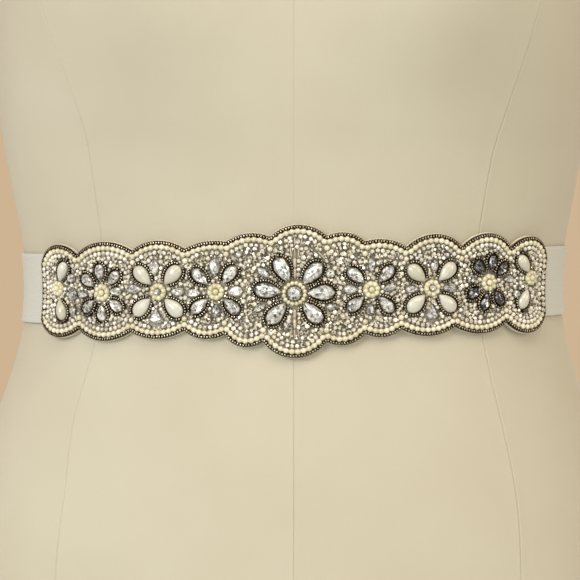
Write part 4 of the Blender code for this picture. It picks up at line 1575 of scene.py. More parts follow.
@dataclass
class FlowerWork:
    """The flowers: petal stones, the seeds round them and the clusters in their middles.

    Attributes:
        outline_gap: how far the seeds' line runs outside a stone.
        outline_pitch: the seeds' spacing.
        cluster_pearl: the radius of a cluster's pearls.
        ring_pearl: the radius of the pearls round the middle flower's stone.
        ring_reach: how far out those pearls sit.
        middle_stone: the radius of the middle flower's stone.
        small_heart: the radius of the stones and pearls in the other clusters.
        under_reach: where the small pearls under a cluster sit, as shares of its reach.
        drop_rise: how much higher than the clear stones the pearl drops are.
        sides: the facets round a petal stone.
    """

    panel: Beadwork
    outline_gap: float = 0.95 * MM
    outline_pitch: float = 1.36 * MM
    cluster_pearl: float = 1.52 * MM
    ring_pearl: float = 1.22 * MM
    ring_reach: float = 5.5 * MM
    middle_stone: float = 3.95 * MM
    small_heart: float = 1.7 * MM
    under_reach: Pair = (0.8, 1.05)
    drop_rise: float = 1.3
    sides: int = 10

    def petal_places(self, flower: Flower) -> tuple[Array, Array]:
        """The petals' middles, a row each, and their directions."""
        turns = np.radians(flower.angles)
        return flower.middle + heading(turns) * flower.reach * MM, turns

    def petals(self) -> dict[Petal, list[Batch]]:
        """Every petal stone, and the place that it takes on the panel."""
        batches: dict[Petal, list[Batch]] = {kind: [] for kind in Petal}
        panel = self.panel
        for number, flower in enumerate(FLOWERS):
            size = [value * MM for value in flower.size]
            flat, turns = self.petal_places(flower)
            if flower.petal is Petal.PEARL:
                solid = domed(Cut.PEAR, *size, panel.stone_height * self.drop_rise)
            else:
                solid = facetted(Cut.PEAR, *size, panel.stone_height, self.sides)
            batches[flower.petal].append(panel.copies(
                solid, flat, panel.stone_foot, turns,
                tilt=0.03, foil=flower.petal.value, seed=40 + number,
            ))
            for middle, turn in zip(flat, turns):
                panel.hold(Cut.PEAR, size, middle, turn)
        return batches

    def outlines(self) -> Batch:
        """The row of seeds round each petal, open by the flower's middle."""
        panel = self.panel
        kept: list[Array] = []
        turns: list[float] = []
        for flower in FLOWERS:
            length, width = (size * MM + 2 * self.outline_gap for size in flower.size)
            loop = Cut.PEAR.outline(length, width, 240)
            loop = loop[loop[:, 0] > -length * 0.36]
            points, along = even_points(loop, step=self.outline_pitch)
            for middle, turn in zip(*self.petal_places(flower)):
                axes = np.array([[np.cos(turn), np.sin(turn)], [-np.sin(turn), np.cos(turn)]])
                placed, ways = middle + points @ axes, along @ axes
                fits = panel.shape.inside(placed, 1.9 * MM)
                fits &= panel.ground.is_free(placed, self.outline_gap * 0.4)
                for place, way in zip(placed[fits], ways[fits]):
                    if all(np.hypot(*(place - other)) > 0.98 * MM for other in kept):
                        kept.append(place)
                        turns.append(math.atan2(way[1], way[0]))
        flat = np.array(kept)
        panel.ground.block(flat, 0.7 * MM)
        seed = barrel(self.outline_pitch * 0.94, 1.03 * MM)
        return panel.copies(seed, flat, 3.3 * MM, np.array(turns), tilt=0.08, foil=Glaze(0.93), seed=3)

    def clusters(self) -> tuple[list[Batch], list[Batch]]:
        """The pearls in the flowers' middles, and the middle flower's round stones."""
        panel = self.panel
        rounds, sizes, unders, stones, hearts = [], [], [], [], []
        for flower in FLOWERS:
            if not flower.boss:
                continue
            middle = flower.middle
            has_ring = flower.boss > 6
            if has_ring:
                count, size, reach = 16, self.ring_pearl, self.ring_reach
                stones.append((middle, self.middle_stone))
            else:
                count, size, reach = 8, self.cluster_pearl, flower.boss * MM - self.cluster_pearl
                if flower.petal is Petal.PEARL and len(flower.angles) > 1:
                    stones.append((middle, self.small_heart))
                else:
                    hearts.append(middle)
            turns = np.arange(count) * 2 * np.pi / count + 0.2
            rounds.append(middle + reach * heading(turns))
            sizes.append(np.full(count, size))
            if not has_ring:
                between = heading(turns + np.pi / count)
                unders += [middle + reach * share * between for share in self.under_reach]
            panel.ground.block(middle[None], flower.boss * MM)
        pearls = [
            panel.copies(ball(8), np.vstack(unders), 2.9 * MM, 0.0, 1.15 * MM, tilt=0.1, seed=8),
            panel.copies(ball(), np.vstack(rounds), 3.5 * MM, 0.0, np.hstack(sizes), tilt=0.1, seed=5),
            panel.copies(ball(), np.array(hearts), 4.0 * MM, 0.0, self.small_heart, seed=6),
        ]
        gems = [
            panel.copies(
                facetted(Cut.ROUND, 2 * radius, 2 * radius, panel.stone_height, 12),
                np.array([middle]), panel.stone_foot + 0.2 * MM, foil=Foil(), seed=7,
            )
            for middle, radius in stones
        ]
        return pearls, gems


@dataclass
class BorderRows:
    """The rows of beads that follow the panel's edge.

    Attributes:
        bead_zone: how far out the inner row's stones give way to silver beads.
        under_pearl: the radius of the pearls under the gaps.
        end_zone: how far out the edge's pearls give way to small stones.
        end_height: up to what height they do.
    """

    panel: Beadwork
    crystal_inset: float = 6.3 * MM
    crystal_pitch: float = 2.7 * MM
    row_foil: Foil = Foil(0.04, 0.2, 0.6)
    bead_zone: float = 90 * MM
    under_pearl: float = 1.05 * MM
    end_zone: float = 145 * MM
    end_height: float = 15 * MM

    def seeds(self) -> Batch:
        """The outer row of dark seeds, threaded end to end."""
        panel = self.panel
        flat, along = panel.shape.row(panel.seed_inset, panel.seed_pitch)
        seed = barrel(panel.seed_pitch * 0.97, 1.2 * MM)
        panel.ground.block(flat, 0.9 * MM)
        return panel.copies(seed, flat, 2.6 * MM, np.arctan2(along[:, 1], along[:, 0]),
                            tilt=0.05, foil=Glaze(), seed=11)

    def pearls(self) -> tuple[list[Batch], Batch]:
        """The row of pearls inside the seeds, with smaller ones under its gaps.

        Returns:
            The pearls, and the small stones that stand for them at the panel's ends.
        """
        panel = self.panel
        row, _ = panel.shape.row(panel.pearl_inset, 3.02 * MM)
        notches = [
            (u, arcs.sign * (height - 6.6))
            for arcs in (panel.shape.top, panel.shape.low) for u, height in arcs.notches
        ]
        flat = np.vstack([row, np.array(notches) * MM])
        panel.ground.block(flat, panel.pearl_radius)
        rng = np.random.default_rng(12)
        sizes = panel.pearl_radius * rng.uniform(0.96, 1.05, len(flat))
        under = (row + np.roll(row, -1, 0)) / 2
        ends, under_ends = (
            (np.abs(places[:, 0]) > self.end_zone) & (np.abs(places[:, 1]) < self.end_height)
            for places in (flat, under)
        )
        pearls = [
            panel.copies(ball(12), flat[~ends], 3.0 * MM, 0.0, sizes[~ends], tilt=0.1, seed=13),
            panel.copies(
                ball(8), under[~under_ends], 2.5 * MM, 0.0, self.under_pearl, tilt=0.1, seed=17
            ),
        ]
        return pearls, panel.copies(
            chaton(), flat[ends], 2.5 * MM, 0.7, sizes[ends], tilt=0.2, foil=self.row_foil, seed=18
        )

    def crystals(self) -> tuple[Batch, Batch]:
        """The row inside the pearls, where there is room: crystals, and beads at the ends."""
        panel = self.panel
        flat, _ = panel.shape.row(self.crystal_inset, self.crystal_pitch)
        flat = flat[panel.ground.is_free(flat, 1.0 * MM)]
        panel.ground.block(flat, 1.3 * MM)
        rng = np.random.default_rng(14)
        sizes = rng.uniform(1.26, 1.42, len(flat)) * MM
        ends = (flat[:, 0] < -self.bead_zone) | (flat[:, 0] > self.bead_zone)
        gems, beads = flat[~ends], flat[ends]
        return (
            panel.copies(chaton(), gems, 2.5 * MM, rng.uniform(0, 6, len(gems)), sizes[~ends],
                         tilt=0.16, foil=self.row_foil, seed=15),
            panel.copies(ball(8), beads, 3.0 * MM, 0.0, sizes[ends], tilt=0.2, seed=16),
        )


@dataclass
class Fillings:
    """The smaller stones and sticks, and the crystals that fill the ground between.

    Attributes:
        crystal_radii: the smallest and the largest crystal's radius.
        bead_shares: the share of silver beads near the middle and near the ends.
    """

    panel: Beadwork
    crystal_radii: Pair = (0.95 * MM, 1.3 * MM)
    chip_radius: float = 0.6 * MM
    crystal_count: int = 1700
    chip_count: int = 900
    bead_shares: Pair = (0.08, 0.45)

    def stones(self) -> list[Batch]:
        """The small stones between the flowers."""
        panel = self.panel
        batches = []
        for number, stone in enumerate(SMALL_STONES):
            size = length, width = [value * MM for value in stone.size]
            middle = np.array([stone.u, stone.v]) * MM
            turn = math.radians(stone.turn)
            sides = 8 if stone.cut is Cut.TRIANGLE else 10
            solid = facetted(stone.cut, length, width, 2.7 * MM, sides)
            # Duller stones get more dark and greyish facets of painted reflection.
            foil = Foil(0.6 * (1 - stone.bright) ** 1.5, 0.9 * (1 - stone.bright))
            batches.append(panel.copies(
                solid, middle[None], 2.5 * MM, turn, tilt=0.04, foil=foil, seed=100 + number
            ))
            panel.hold(stone.cut, size, middle, turn)
            if stone.cut is Cut.TRIANGLE:
                ahead = heading(turn)
                sideways = np.array([[-ahead[1], ahead[0]], [ahead[1], -ahead[0]]])
                corners = middle + ahead * length * 0.25 + sideways * width * 0.28
                panel.ground.block(corners, width * 0.2)
        return batches

    def sticks(self) -> list[Batch]:
        """The bugle sticks over and under the middle flower."""
        panel = self.panel
        batches = []
        for number, stick in enumerate(STICKS):
            middle = np.array([stick.u, stick.v]) * MM
            turn = math.radians(stick.turn)
            solid = barrel(stick.length * MM, stick.width * MM / 2, 8)
            batches.append(panel.copies(
                solid, middle[None], 3.1 * MM, turn, tilt=0.04, seed=200 + number
            ))
            reach = np.linspace(-0.4, 0.4, 5)[:, None] * stick.length * MM
            panel.ground.block(middle + reach * heading(turn), stick.width * MM / 2)
        return batches

    def ground(self) -> tuple[list[Batch], Batch]:
        """Crystals and silver beads packed into the ground, and chips in the last gaps."""
        panel = self.panel
        rng = np.random.default_rng(21)
        found = panel.ground.pack(rng.uniform(*self.crystal_radii, self.crystal_count))
        chips = panel.ground.pack(np.full(self.chip_count, self.chip_radius))
        share = np.interp(np.abs(found[:, 0]), (60 * MM, 100 * MM), self.bead_shares)
        round_ones = rng.uniform(0, 1, len(found)) < share
        beads, stones = found[round_ones], found[~round_ones]
        LOG.info("%d crystals, %d beads, %d chips", len(stones), len(beads), len(chips))
        crystals = [
            panel.copies(chaton(6), stones[:, :2], 2.45 * MM, rng.uniform(0, 6, len(stones)),
                         stones[:, 2] * 1.22, tilt=0.34, foil=Foil(0.17, 0.24, 0.5), seed=22),
            panel.copies(chaton(5), chips[:, :2], 2.35 * MM, rng.uniform(0, 6, len(chips)),
                         chips[:, 2] * 1.45, tilt=0.35, foil=Foil(0.2, 0.3, 0.5), seed=23),
        ]
        silver = panel.copies(ball(8), beads[:, :2], 3.0 * MM, 0.0, beads[:, 2] * 1.1, tilt=0.2, seed=24)
        return crystals, silver


@dataclass
class Straps:
    """The elastic straps from under the panel's ends to the centre back."""

    waist: Waist
    height: float = 38 * MM
    rise: float = 1.9 * MM
    thick: float = 1.2 * MM
    hem_thick: float = 2.4 * MM
    hem: float = 12 * MM
    front: float = 138.8 * MM
    closure: float = 2.5 * MM
    rounding: float = 0.35 * MM

    def stations(self) -> tuple[Array, Array]:
        """Lengths round the waist, and the thickness at each: doubled at the hem."""
        end = self.waist.half_girth - self.closure
        hem = end - self.hem
        places = [np.linspace(self.front, hem, 170), hem + np.array([0.25, 0.5, 0.8]) * MM]
        places += [np.linspace(hem + 1.5 * MM, end - 0.6 * MM, 9), end - np.array([0.3, 0.1, 0]) * MM]
        u = np.concatenate(places)
        thick = np.interp(u, (hem, hem + 0.8 * MM), (self.thick, self.hem_thick))
        fold = np.clip((end - u) / (0.6 * MM), 0, 1)
        return u, thick * (0.55 + 0.45 * np.sqrt(fold))

    def build(self, side: Side) -> Piece:
        """One strap: a flat section with rounded edges, carried round the waist.

        Args:
            side: which strap it is.

        Returns:
            The strap.
        """
        u, thick = self.stations()
        half = self.height / 2
        across = np.linspace(-half + self.rounding, half - self.rounding, 33)
        under = np.column_stack([across, np.zeros_like(across)])
        over = np.column_stack([across[::-1], np.ones_like(across)])
        up_edge = np.array([[half - 0.1 * MM, 0.15], [half, 0.5], [half - 0.1 * MM, 0.85]])
        low_edge = up_edge[::-1] * (-1, 1)
        section = np.vstack([under, up_edge, over, low_edge])
        if side is Side.RIGHT:
            section = section[::-1]
        v = self.rise + section[:, 0]
        w = section[None, :, 1] * thick[:, None]
        strap = solid_piece(
            f"elastic_{side.word}", lofted(self.waist.wrap(side.value * u[:, None], v[None], w))
        )
        carry_uv(strap, "weave", np.stack(np.broadcast_arrays(u[:, None], v[None]), -1).reshape(-1, 2))
        return strap

    def stitches(self, side: Side) -> Solid:
        """A zigzag of thread over the hem's raw end: one tube along the strap's outside."""
        turns = 26
        start = self.waist.half_girth - self.closure - self.hem
        rows = self.rise + np.linspace(-17.5, 17.5, turns) * MM
        along = start + np.where(np.arange(turns) % 2, 2.3, 0.9) * MM
        places = np.arange(turns * 4 - 3)
        u, v = (np.interp(places, np.arange(turns) * 4 + 0.5, corners) for corners in (along, rows))
        return tube(self.waist.wrap(side.value * u, v, self.hem_thick + 0.1 * MM), 0.2 * MM, 6)


@dataclass
class Closure:
    """The wire hooks and eyes at the centre back, with the threads that hold them."""

    waist: Waist
    wire: float = 0.45 * MM
    heights: Pair = (11.4 * MM, -7.6 * MM)
    gap: float = 5 * MM
    half_width: float = 2.6 * MM
    reach: float = 8 * MM
    ring: float = 1.5 * MM
    bar_lift: float = 2.0 * MM
    lift: float = 3.25 * MM
    clearance: float = 1.2 * MM
    bar: float = 1.0 * MM

    def at_back(self, route: Array) -> Array:
        """Places (s, v, w) points, where s runs from the centre back towards +X."""
        s, v, w = route.T
        girth = self.waist.half_girth
        return self.waist.wrap(np.where(s >= 0, girth - s, -girth - s), v, w)

    def ring_points(self, s: float, v: float, side: int, turn: int) -> Array:
        """Points round most of a sewing ring, starting beside (s, v)."""
        turns = np.radians(np.linspace(0, 290, 22))
        return np.column_stack([
            s + side * self.ring * np.sin(turns),
            v + turn * self.ring * (1 - np.cos(turns)),
            np.full_like(turns, self.lift),
        ])

    def eye(self, v: float) -> Solid:
        """An eye: two rings on the -X strap and a bar across the gap, one bent wire."""
        edge, half = -self.gap / 2 - 0.4 * MM, self.half_width
        low = np.array([
            (edge, v - half, self.lift),
            (self.bar - 0.8 * MM, v - half, self.bar_lift),
            (self.bar - 0.2 * MM, v - half * 0.95, self.bar_lift),
            (self.bar, v - half * 0.8, self.bar_lift),
        ])
        ring = self.ring_points(-self.reach, v - half, -1, -1)
        lower = np.vstack([ring[::-1], low])
        upper = lower[::-1] * (1, -1, 1) + (0, 2 * v, 0)
        return tube(self.at_back(np.vstack([lower, upper])), self.wire)

    def hook(self, v: float) -> Solid:
        """A hook: a ring on the +X strap and a wire that folds round the eye's bar."""
        half = 0.55 * MM
        turns = np.radians(np.linspace(90, 270, 15))
        bend = np.column_stack([
            self.bar + self.clearance * np.cos(turns), np.full(15, v),
            self.bar_lift + self.clearance * np.sin(turns),
        ])
        ring = self.ring_points(self.reach + 1 * MM, v + half, 1, 1)
        leg = np.array([(self.bar + 2.0 * MM, v + half * 0.4, self.lift)])
        return tube(self.at_back(np.vstack([ring[::-1], leg, bend])), self.wire)

    def threads(self) -> Solid:
        """Sewing stitches over the rings: short tubes that rise over the wire and dive."""
        solids = []
        rise = np.array([2.35, 3.3, 3.95, 3.3, 2.35]) * MM
        for v in self.heights:
            rings = [
                (-self.reach, v - self.half_width - self.ring),
                (-self.reach, v + self.half_width + self.ring),
                (self.reach + 1 * MM, v + 0.55 * MM + self.ring),
            ]
            for s, height in rings:
                for turn in np.radians((20, 75, 130, 185, 240, 295)):
                    out = self.ring + np.array([-0.95, -0.55, 0, 0.55, 0.95]) * MM
                    path = np.column_stack([s + out * np.cos(turn), height + out * np.sin(turn), rise])
                    solids.append(tube(self.at_back(path), 0.16 * MM, 5))
        return joined(solids)


# Each princess seam over the bust: the level from the belt in mm, and the angle in degrees.
RIGHT_PRINCESS = (
    (-290, 40), (-148, 39.8), (-104, 42.0), (-52, 42.2), (-29, 41.9), (27, 40.1), (73, 41.0),
    (99, 43.0), (125, 46.6), (151, 50.0), (200, 59.5), (240, 68.5), (300, 80),
)
LEFT_PRINCESS = (
    (-290, 42), (-148, 42.5), (-104, 43.5), (-78, 45.5), (-52, 45.8), (-29, 44.3), (27, 42.3),
    (65, 42.6), (86, 42.4), (125, 47.6), (151, 52.5), (200, 62), (240, 70), (300, 80),
)


@dataclass
class DressForm:
    """The limbless form: its sewn cover, arm plates, neck cap and base board."""

    shape: FormShape
    rows: int = 200
    groove: tuple[Pair, ...] = (
        (-1.5, 0.0), (-0.8, 0.07), (-0.4, 0.02), (-0.18, -0.22), (0.0, -0.42),
        (0.18, -0.22), (0.4, 0.02), (0.8, 0.07), (1.5, 0.0),
    )
    between: int = 20
    arm_plate: float = 4 * MM
    arm_share: float = 0.97
    eased: tuple[Pair, ...] = ((1.2, 0.0), (0.35, 0.35), (0.0, 1.2))
    cap_rise: float = 13 * MM
    cap_share: float = 0.94
    board_share: float = 0.97

    def seams(self, z: Array) -> tuple[Array, Array]:
        """Each seam's angle and strength at heights z, a row for each height.

        The centre, side and back seams run straight up, and the princess seam over the
        bust follows a curve through measured places until it fades at the armhole.
        """
        level = (z - self.shape.belt_height) / MM
        near = level[:, None] + np.linspace(-14, 14, 9)
        right, left = (
            np.interp(near, *np.array(table).T).mean(1) for table in (RIGHT_PRINCESS, LEFT_PRINCESS)
        )
        side = np.interp(level, (205, 330), (90, 88))
        back = np.interp(level, (-290, 0, 200, 300), (140, 138, 128, 112))
        angles = np.stack([
            np.zeros_like(z), right, side, back, np.full_like(z, 180),
            360 - back, 360 - side, 360 - left,
        ], 1)
        fade = np.interp(level, (-290, -20, 30, 150, 330), (1, 0.85, 0.3, 0.5, 0.4))
        over = np.interp(level, (225, 250), (1, 0))
        neck = np.interp(level, (395, 415), (1, 0.3))
        strength = np.stack([
            fade, over, np.ones_like(z), over, np.ones_like(z), over, np.ones_like(z), over
        ], 1)
        return np.radians(angles), strength * neck[:, None]

    def build_body(self) -> Piece:
        """The cover: rings round the form whose columns follow the seams.

        A seam is a V-shaped groove with a slightly puffed lip on each side, so a point
        near it moves along the normal by the groove's profile times its strength.
        """
        shape = self.shape
        z = np.unique(np.concatenate([
            np.linspace(shape.foot, shape.head, self.rows),
            shape.foot + np.array([0.15, 0.6, 1.5]) * MM,
        ]))
        seams, strength = self.seams(z)
        turn = 1e-3
        scale = np.linalg.norm(
            shape.skin(seams + turn, z[:, None]) - shape.skin(seams - turn, z[:, None]), axis=-1
        ) / (2 * turn)
        offsets, depths = np.array(self.groove).T * MM
        columns, relief = [], []
        for place in range(8):
            beside = (place + 1) % 8
            near = seams[:, place, None] + offsets / scale[:, place, None]
            far = seams[:, beside] + (2 * np.pi if beside == 0 else 0) + offsets[0] / scale[:, beside]
            share = np.arange(1, self.between + 1) / (self.between + 1)
            middle = near[:, -1:] + (far[:, None] - near[:, -1:]) * share
            columns += [near, middle]
            relief += [depths * strength[:, place, None], np.zeros_like(middle)]
        angles, depth = np.hstack(columns), np.hstack(relief)
        rim = np.interp(z - shape.foot, (0, 0.15 * MM, 0.6 * MM, 1.5 * MM), (-0.9, -0.45, -0.12, 0)) * MM
        depth = depth + rim[:, None]
        levels = np.broadcast_to(z[:, None], angles.shape)
        points = shape.skin(angles, levels) + shape.normal(angles, levels) * depth[..., None]
        body = solid_piece("form_body", lofted(points))
        girth = np.interp(angles % (2 * np.pi), *self.unrolled())
        carry_uv(body, "cover", np.stack([girth, levels], -1).reshape(-1, 2))
        self.cut_arms(body)
        return body

    def unrolled(self) -> tuple[Array, Array]:
        """Angles round the waist and the length along it to each, once round."""
        angles = np.linspace(0, 2 * np.pi, 721)
        ring = self.shape.skin(angles, np.full_like(angles, self.shape.belt_height))
        return angles, lengths_along(ring)

    def cut_arms(self, body: Piece) -> None:
        """Cuts the body flat at each arm, over the height where the arms begin."""
        mesh = bmesh.new()
        mesh.from_mesh(body.data)
        for side in (-1, 1):
            faces = [f for f in mesh.faces if min(v.co.z for v in f.verts) > self.shape.arm_floor]
            parts = [*{v for f in faces for v in f.verts}, *{e for f in faces for e in f.edges}, *faces]
            cut = bmesh.ops.bisect_plane(
                mesh, geom=parts, plane_co=(side * self.shape.arm_cut, 0, 0),
                plane_no=(side, 0, 0), clear_outer=True,
            )
            rim = [e for e in cut["geom_cut"] if isinstance(e, bmesh.types.BMEdge)]
            for face in bmesh.ops.holes_fill(mesh, edges=rim)["faces"]:
                face.smooth = False
        mesh.to_mesh(body.data)
        mesh.free()

    def rims(self, thick: float) -> list[Pair]:
        """How far a plate's loops are drawn in and their heights, eased at both faces."""
        low = [(inset * MM, height * MM) for inset, height in self.eased]
        return low + [(inset, thick - height) for inset, height in reversed(low)]

    def build_arm_plate(self, side: Side) -> Piece:
        """An oval plate in the arm hole: loops that shrink at its eased rims."""
        outline = self.shape.arm_hole(96)
        middle = outline.mean(0)
        spokes = outline - middle
        radius = np.linalg.norm(spokes, axis=1).mean()
        inner = self.shape.arm_cut + self.shape.gap
        loops = np.stack([
            np.column_stack([
                np.full(len(outline), side.value * (inner + out)),
                middle + spokes * (self.arm_share - inset / radius),
            ])
            for inset, out in self.rims(self.arm_plate)
        ])
        anticlockwise = np.cross(spokes[:-1], spokes[1:]).sum() > 0
        if anticlockwise != (side is Side.RIGHT):
            loops = loops[:, ::-1]
        return solid_piece(f"arm_cover_{side.word}", lofted(loops))

    def build_neck_cap(self) -> Piece:
        """A low dome: the neck's ellipse shrinks as the cosine and rises as the sine."""
        angles = np.linspace(0, 2 * np.pi, 96, endpoint=False)
        rim = self.shape.skin(angles, np.full_like(angles, self.shape.head))
        middle = np.array([0, rim[:, 1].mean(), 0])
        loops = []
        slopes = np.radians((0, 0, 8, 17, 27, 38, 50, 62, 73, 83))
        for place, slope in enumerate(slopes):
            rise = 0 if place == 0 else 0.25 + 0.75 * np.sin(slope)
            ring = (rim - middle) * self.cap_share * np.cos(slope) + middle
            ring[:, 2] = self.shape.head + self.shape.gap + self.cap_rise * rise * 0.98
            loops.append(ring)
        return solid_piece("neck_cap_cover", lofted(np.stack(loops)))

    def build_board(self) -> Piece:
        """The base board: the form's own outline with eased rims."""
        angles = np.linspace(0, 2 * np.pi, 120, endpoint=False)
        rim = self.shape.skin(angles, np.full_like(angles, self.shape.foot))[:, :2] * self.board_share
        loops = stacked((rim - unit(rim) * inset, height) for inset, height in self.rims(self.shape.base))
        return solid_piece("board", lofted(loops))


@dataclass(frozen=True)
class SoftBox:
    """A large soft lamp: its place, what it points at, its size, its power and its colour."""

    place: tuple[float, float, float]
    size: Pair
    power: float
    colour: Colour = (1.0, 1.0, 1.0)
    aim: tuple[float, float, float] = (0.0, -0.05, 0.3)


@dataclass
class Studio:
    """The floor, the lamps, the soft surroundings and the camera."""

    target: tuple[float, float, float] = (-0.00208, -0.1045, 0.30073)
    distance: float = 1.5
    elevation: float = 3.0
    field_width: float = 0.3016
    floor_radius: float = 0.66
    backdrop: Colour = (0.617, 0.456, 0.287)
    surround: Colour = (0.48, 0.48, 0.48)
    boxes: tuple[SoftBox, ...] = (
        SoftBox((-1.3, -1.7, 1.15), (1.1, 1.1), 31, (1.0, 0.985, 0.955)),
        SoftBox((0.3, -1.2, 2.0), (1.4, 0.8), 14, (1.0, 0.86, 0.66)),
        SoftBox((-0.1, -1.4, 0.12), (1.4, 0.2), 2.3, (0.86, 1.0, 1.0)),
        SoftBox((1.7, -0.9, 1.0), (0.6, 1.0), 11, (1.0, 0.86, 0.66)),
        SoftBox((0.0, 1.9, 1.3), (1.2, 1.2), 15, (1.0, 1.0, 1.0), (0.0, 0.05, 0.35)),
    )

    def build(self) -> None:
        """Makes all of it, and sets the view transform."""
        self.floor()
        self.lamps()
        self.world()
        self.camera()
        bpy.context.scene.view_settings.view_transform = "Standard"

    def floor(self) -> None:
        """A round pale floor under the board."""
        disc = stacked([(circle(96) * self.floor_radius, 0.0)])[0]
        piece = solid_piece("studio_floor", Solid(disc, (tuple(range(96)),)), False)
        piece.data.materials.append(FLOOR_PAPER.material())

    def lamps(self) -> None:
        """The soft boxes."""
        for number, box in enumerate(self.boxes, 1):
            lamp = bpy.data.lights.new(f"soft_box_{number}", "AREA")
            lamp.shape = "RECTANGLE"
            lamp.size, lamp.size_y = box.size
            lamp.energy = box.power
            lamp.color = box.colour
            holder = link(bpy.data.objects.new(lamp.name, lamp))
            holder.location = box.place
            aim = Vector(box.aim) - Vector(box.place)
            holder.rotation_euler = aim.to_track_quat("-Z", "Y").to_euler()

    def world(self) -> None:
        """Surroundings by direction: the tan wall behind the form, pale elsewhere."""
        world = bpy.data.worlds.new("studio")
        bpy.context.scene.world = world
        sheet = NodeSheet(world)
        split = sheet.add("SeparateXYZ", Vector=sheet.add("TexCoord").outputs["Generated"])
        colour = sheet.ramp(split.outputs[1], ((0.05, self.surround), (0.35, self.backdrop)))
        sheet.put(sheet.tree.nodes["Background"].inputs[0], colour)

    def camera(self) -> None:
        """The photograph's camera: level with the belt and a little above it."""
        lens = bpy.data.cameras.new("camera")
        lens.sensor_width = 36
        lens.lens = 36 * self.distance / self.field_width
        lens.clip_start = 0.01
        tilt = math.radians(self.elevation)
        ahead = Vector((0, math.cos(tilt), -math.sin(tilt)))
        holder = link(bpy.data.objects.new("camera", lens))
        holder.location = Vector(self.target) - ahead * self.distance
        holder.rotation_euler = ahead.to_track_quat("-Z", "Y").to_euler()
        bpy.context.scene.camera = holder


# Ramps from a face's tone to colour. For the stones the tones are painted reflections and painted shade;
# the silver beads' tones differ at random.
CLEAR_STOPS = (
    (0.0, (0.05, 0.048, 0.045)), (0.16, (0.15, 0.145, 0.135)), (0.34, (0.33, 0.32, 0.30)),
    (0.55, (0.47, 0.455, 0.425)), (0.8, (0.68, 0.655, 0.605)), (1.0, (0.92, 0.89, 0.83)),
)
FILL_STOPS = (
    (0.0, (0.07, 0.06, 0.042)), (0.2, (0.28, 0.25, 0.195)), (0.42, (0.55, 0.51, 0.42)),
    (0.62, (0.76, 0.72, 0.61)), (0.85, (0.93, 0.90, 0.82)),
)
SILVER_STOPS = (
    (0.0, (0.42, 0.39, 0.33)), (0.35, (0.64, 0.61, 0.53)), (0.7, (0.84, 0.81, 0.73)),
    (1.0, (0.94, 0.92, 0.86)),
)
SMOKY_STOPS = (
    (0.0, (0.006, 0.005, 0.005)), (0.3, (0.026, 0.022, 0.021)), (0.55, (0.09, 0.08, 0.076)),
    (0.8, (0.36, 0.34, 0.33)), (1.0, (0.90, 0.88, 0.86)),
)


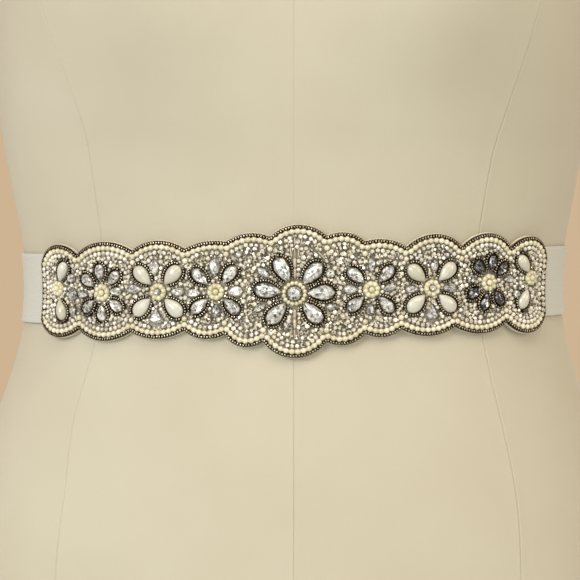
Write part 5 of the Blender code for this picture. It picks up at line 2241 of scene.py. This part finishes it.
def dress_panel(waist: Waist) -> None:
    """Builds and dresses the felt panel and its beads."""
    panel = Beadwork(waist)
    flowers = FlowerWork(panel)
    border = BorderRows(panel)
    fillings = Fillings(panel)
    petals = flowers.petals()
    outlines = flowers.outlines()
    cluster_pearls, gems = flowers.clusters()
    edge_seeds = border.seeds()
    edge_pearls, end_row = border.pearls()
    stones = fillings.stones()
    sticks = fillings.sticks()
    crystal_row, silver_row = border.crystals()
    ground, silver = fillings.ground()

    felt = give(panel.build_felt(), FELT.material(), "beaded_panel")
    bed = give(panel.build_bed(), BED_THREAD_AND_GAP_SHADE.material())
    bronze = Bronze().material()
    crystal = Crystal("clear_crystal", CLEAR_STOPS).material()
    filling = Crystal(
        "fill_crystal", FILL_STOPS, (0.99, 0.97, 0.82), (0.98, 0.95, 0.97), speck=700
    ).material()
    smoky = Crystal("smoky_crystal", SMOKY_STOPS).material()
    ivory = Pearl("ivory_pearl", (0.60, 0.53, 0.35), (0.80, 0.75, 0.57)).material()
    cream = Pearl("cream_pearl", (0.58, 0.52, 0.31), (0.76, 0.71, 0.49)).material()
    drop = Pearl("pearl_drop", (0.52, 0.485, 0.37), (0.62, 0.60, 0.51), 0.16).material()
    stick = Pearl("champagne_stick", (0.42, 0.35, 0.25), (0.58, 0.51, 0.38), 0.06).material()
    silver_bead = Crystal(
        "silver_bead", SILVER_STOPS, (1.0, 0.97, 0.86), (0.98, 0.94, 0.93), speck=900, metal=0.2
    ).material()
    beads = (
        ("edge_seeds", [edge_seeds], True, bronze),
        ("petal_seeds", [outlines], True, bronze),
        ("edge_pearls", edge_pearls, True, ivory),
        ("cluster_pearls", cluster_pearls, True, cream),
        ("middle_stone", gems, False, crystal),
        ("crystal_petals", petals[Petal.CLEAR], False, crystal),
        ("smoky_petals", petals[Petal.SMOKY], False, smoky),
        ("pearl_petals", petals[Petal.PEARL], True, drop),
        ("small_stones", stones, False, crystal),
        ("bugle_sticks", sticks, True, stick),
        ("crystal_row", [crystal_row, end_row], False, filling),
        ("ground_crystals", ground, False, filling),
        ("silver_beads", [silver, silver_row], True, silver_bead),
    )
    for name, batches, smooth, material in beads:
        give(join_batches(name, batches, smooth), material)
    round(panel.shape.area(), 5)


def dress_straps(waist: Waist) -> None:
    """Builds and dresses the elastic straps and the closure at the back."""
    straps = Straps(waist)
    weave = Elastic().material()
    thread = SEWING_THREAD.material()
    for side in Side:
        strap = give(straps.build(side), weave, f"elastic_strap_{side.word}")
        stitch = give(solid_piece(f"hem_stitches_{side.word}", straps.stitches(side)), thread)
    closure = Closure(waist)
    steel = STEEL_WIRE.material()
    for number, v in enumerate(closure.heights, 1):
        give(solid_piece(f"wire_eye_{number}", closure.eye(v)), steel, f"eye_{number}")
        give(solid_piece(f"wire_hook_{number}", closure.hook(v)), steel, f"hook_{number}")
    give(solid_piece("hook_threads", closure.threads()), thread)


def dress_form(shape: FormShape) -> None:
    """Builds and dresses the form under the belt."""
    form = DressForm(shape)
    jersey = Jersey().material()
    give(form.build_body(), jersey, "torso")
    for side in Side:
        give(form.build_arm_plate(side), jersey, f"arm_plate_{side.word}")
    give(form.build_neck_cap(), jersey, "neck_cap")
    give(form.build_board(), PAINTED_BOARD.material(), "base_board")


def main() -> None:
    """Builds the studio, the form and the belt."""
    logging.basicConfig(level=logging.INFO, format="%(message)s")
    shape = FormShape()
    waist = Waist(shape)
    Studio().build()
    dress_form(shape)
    dress_straps(waist)
    dress_panel(waist)


if __name__ == "__main__":
    main()
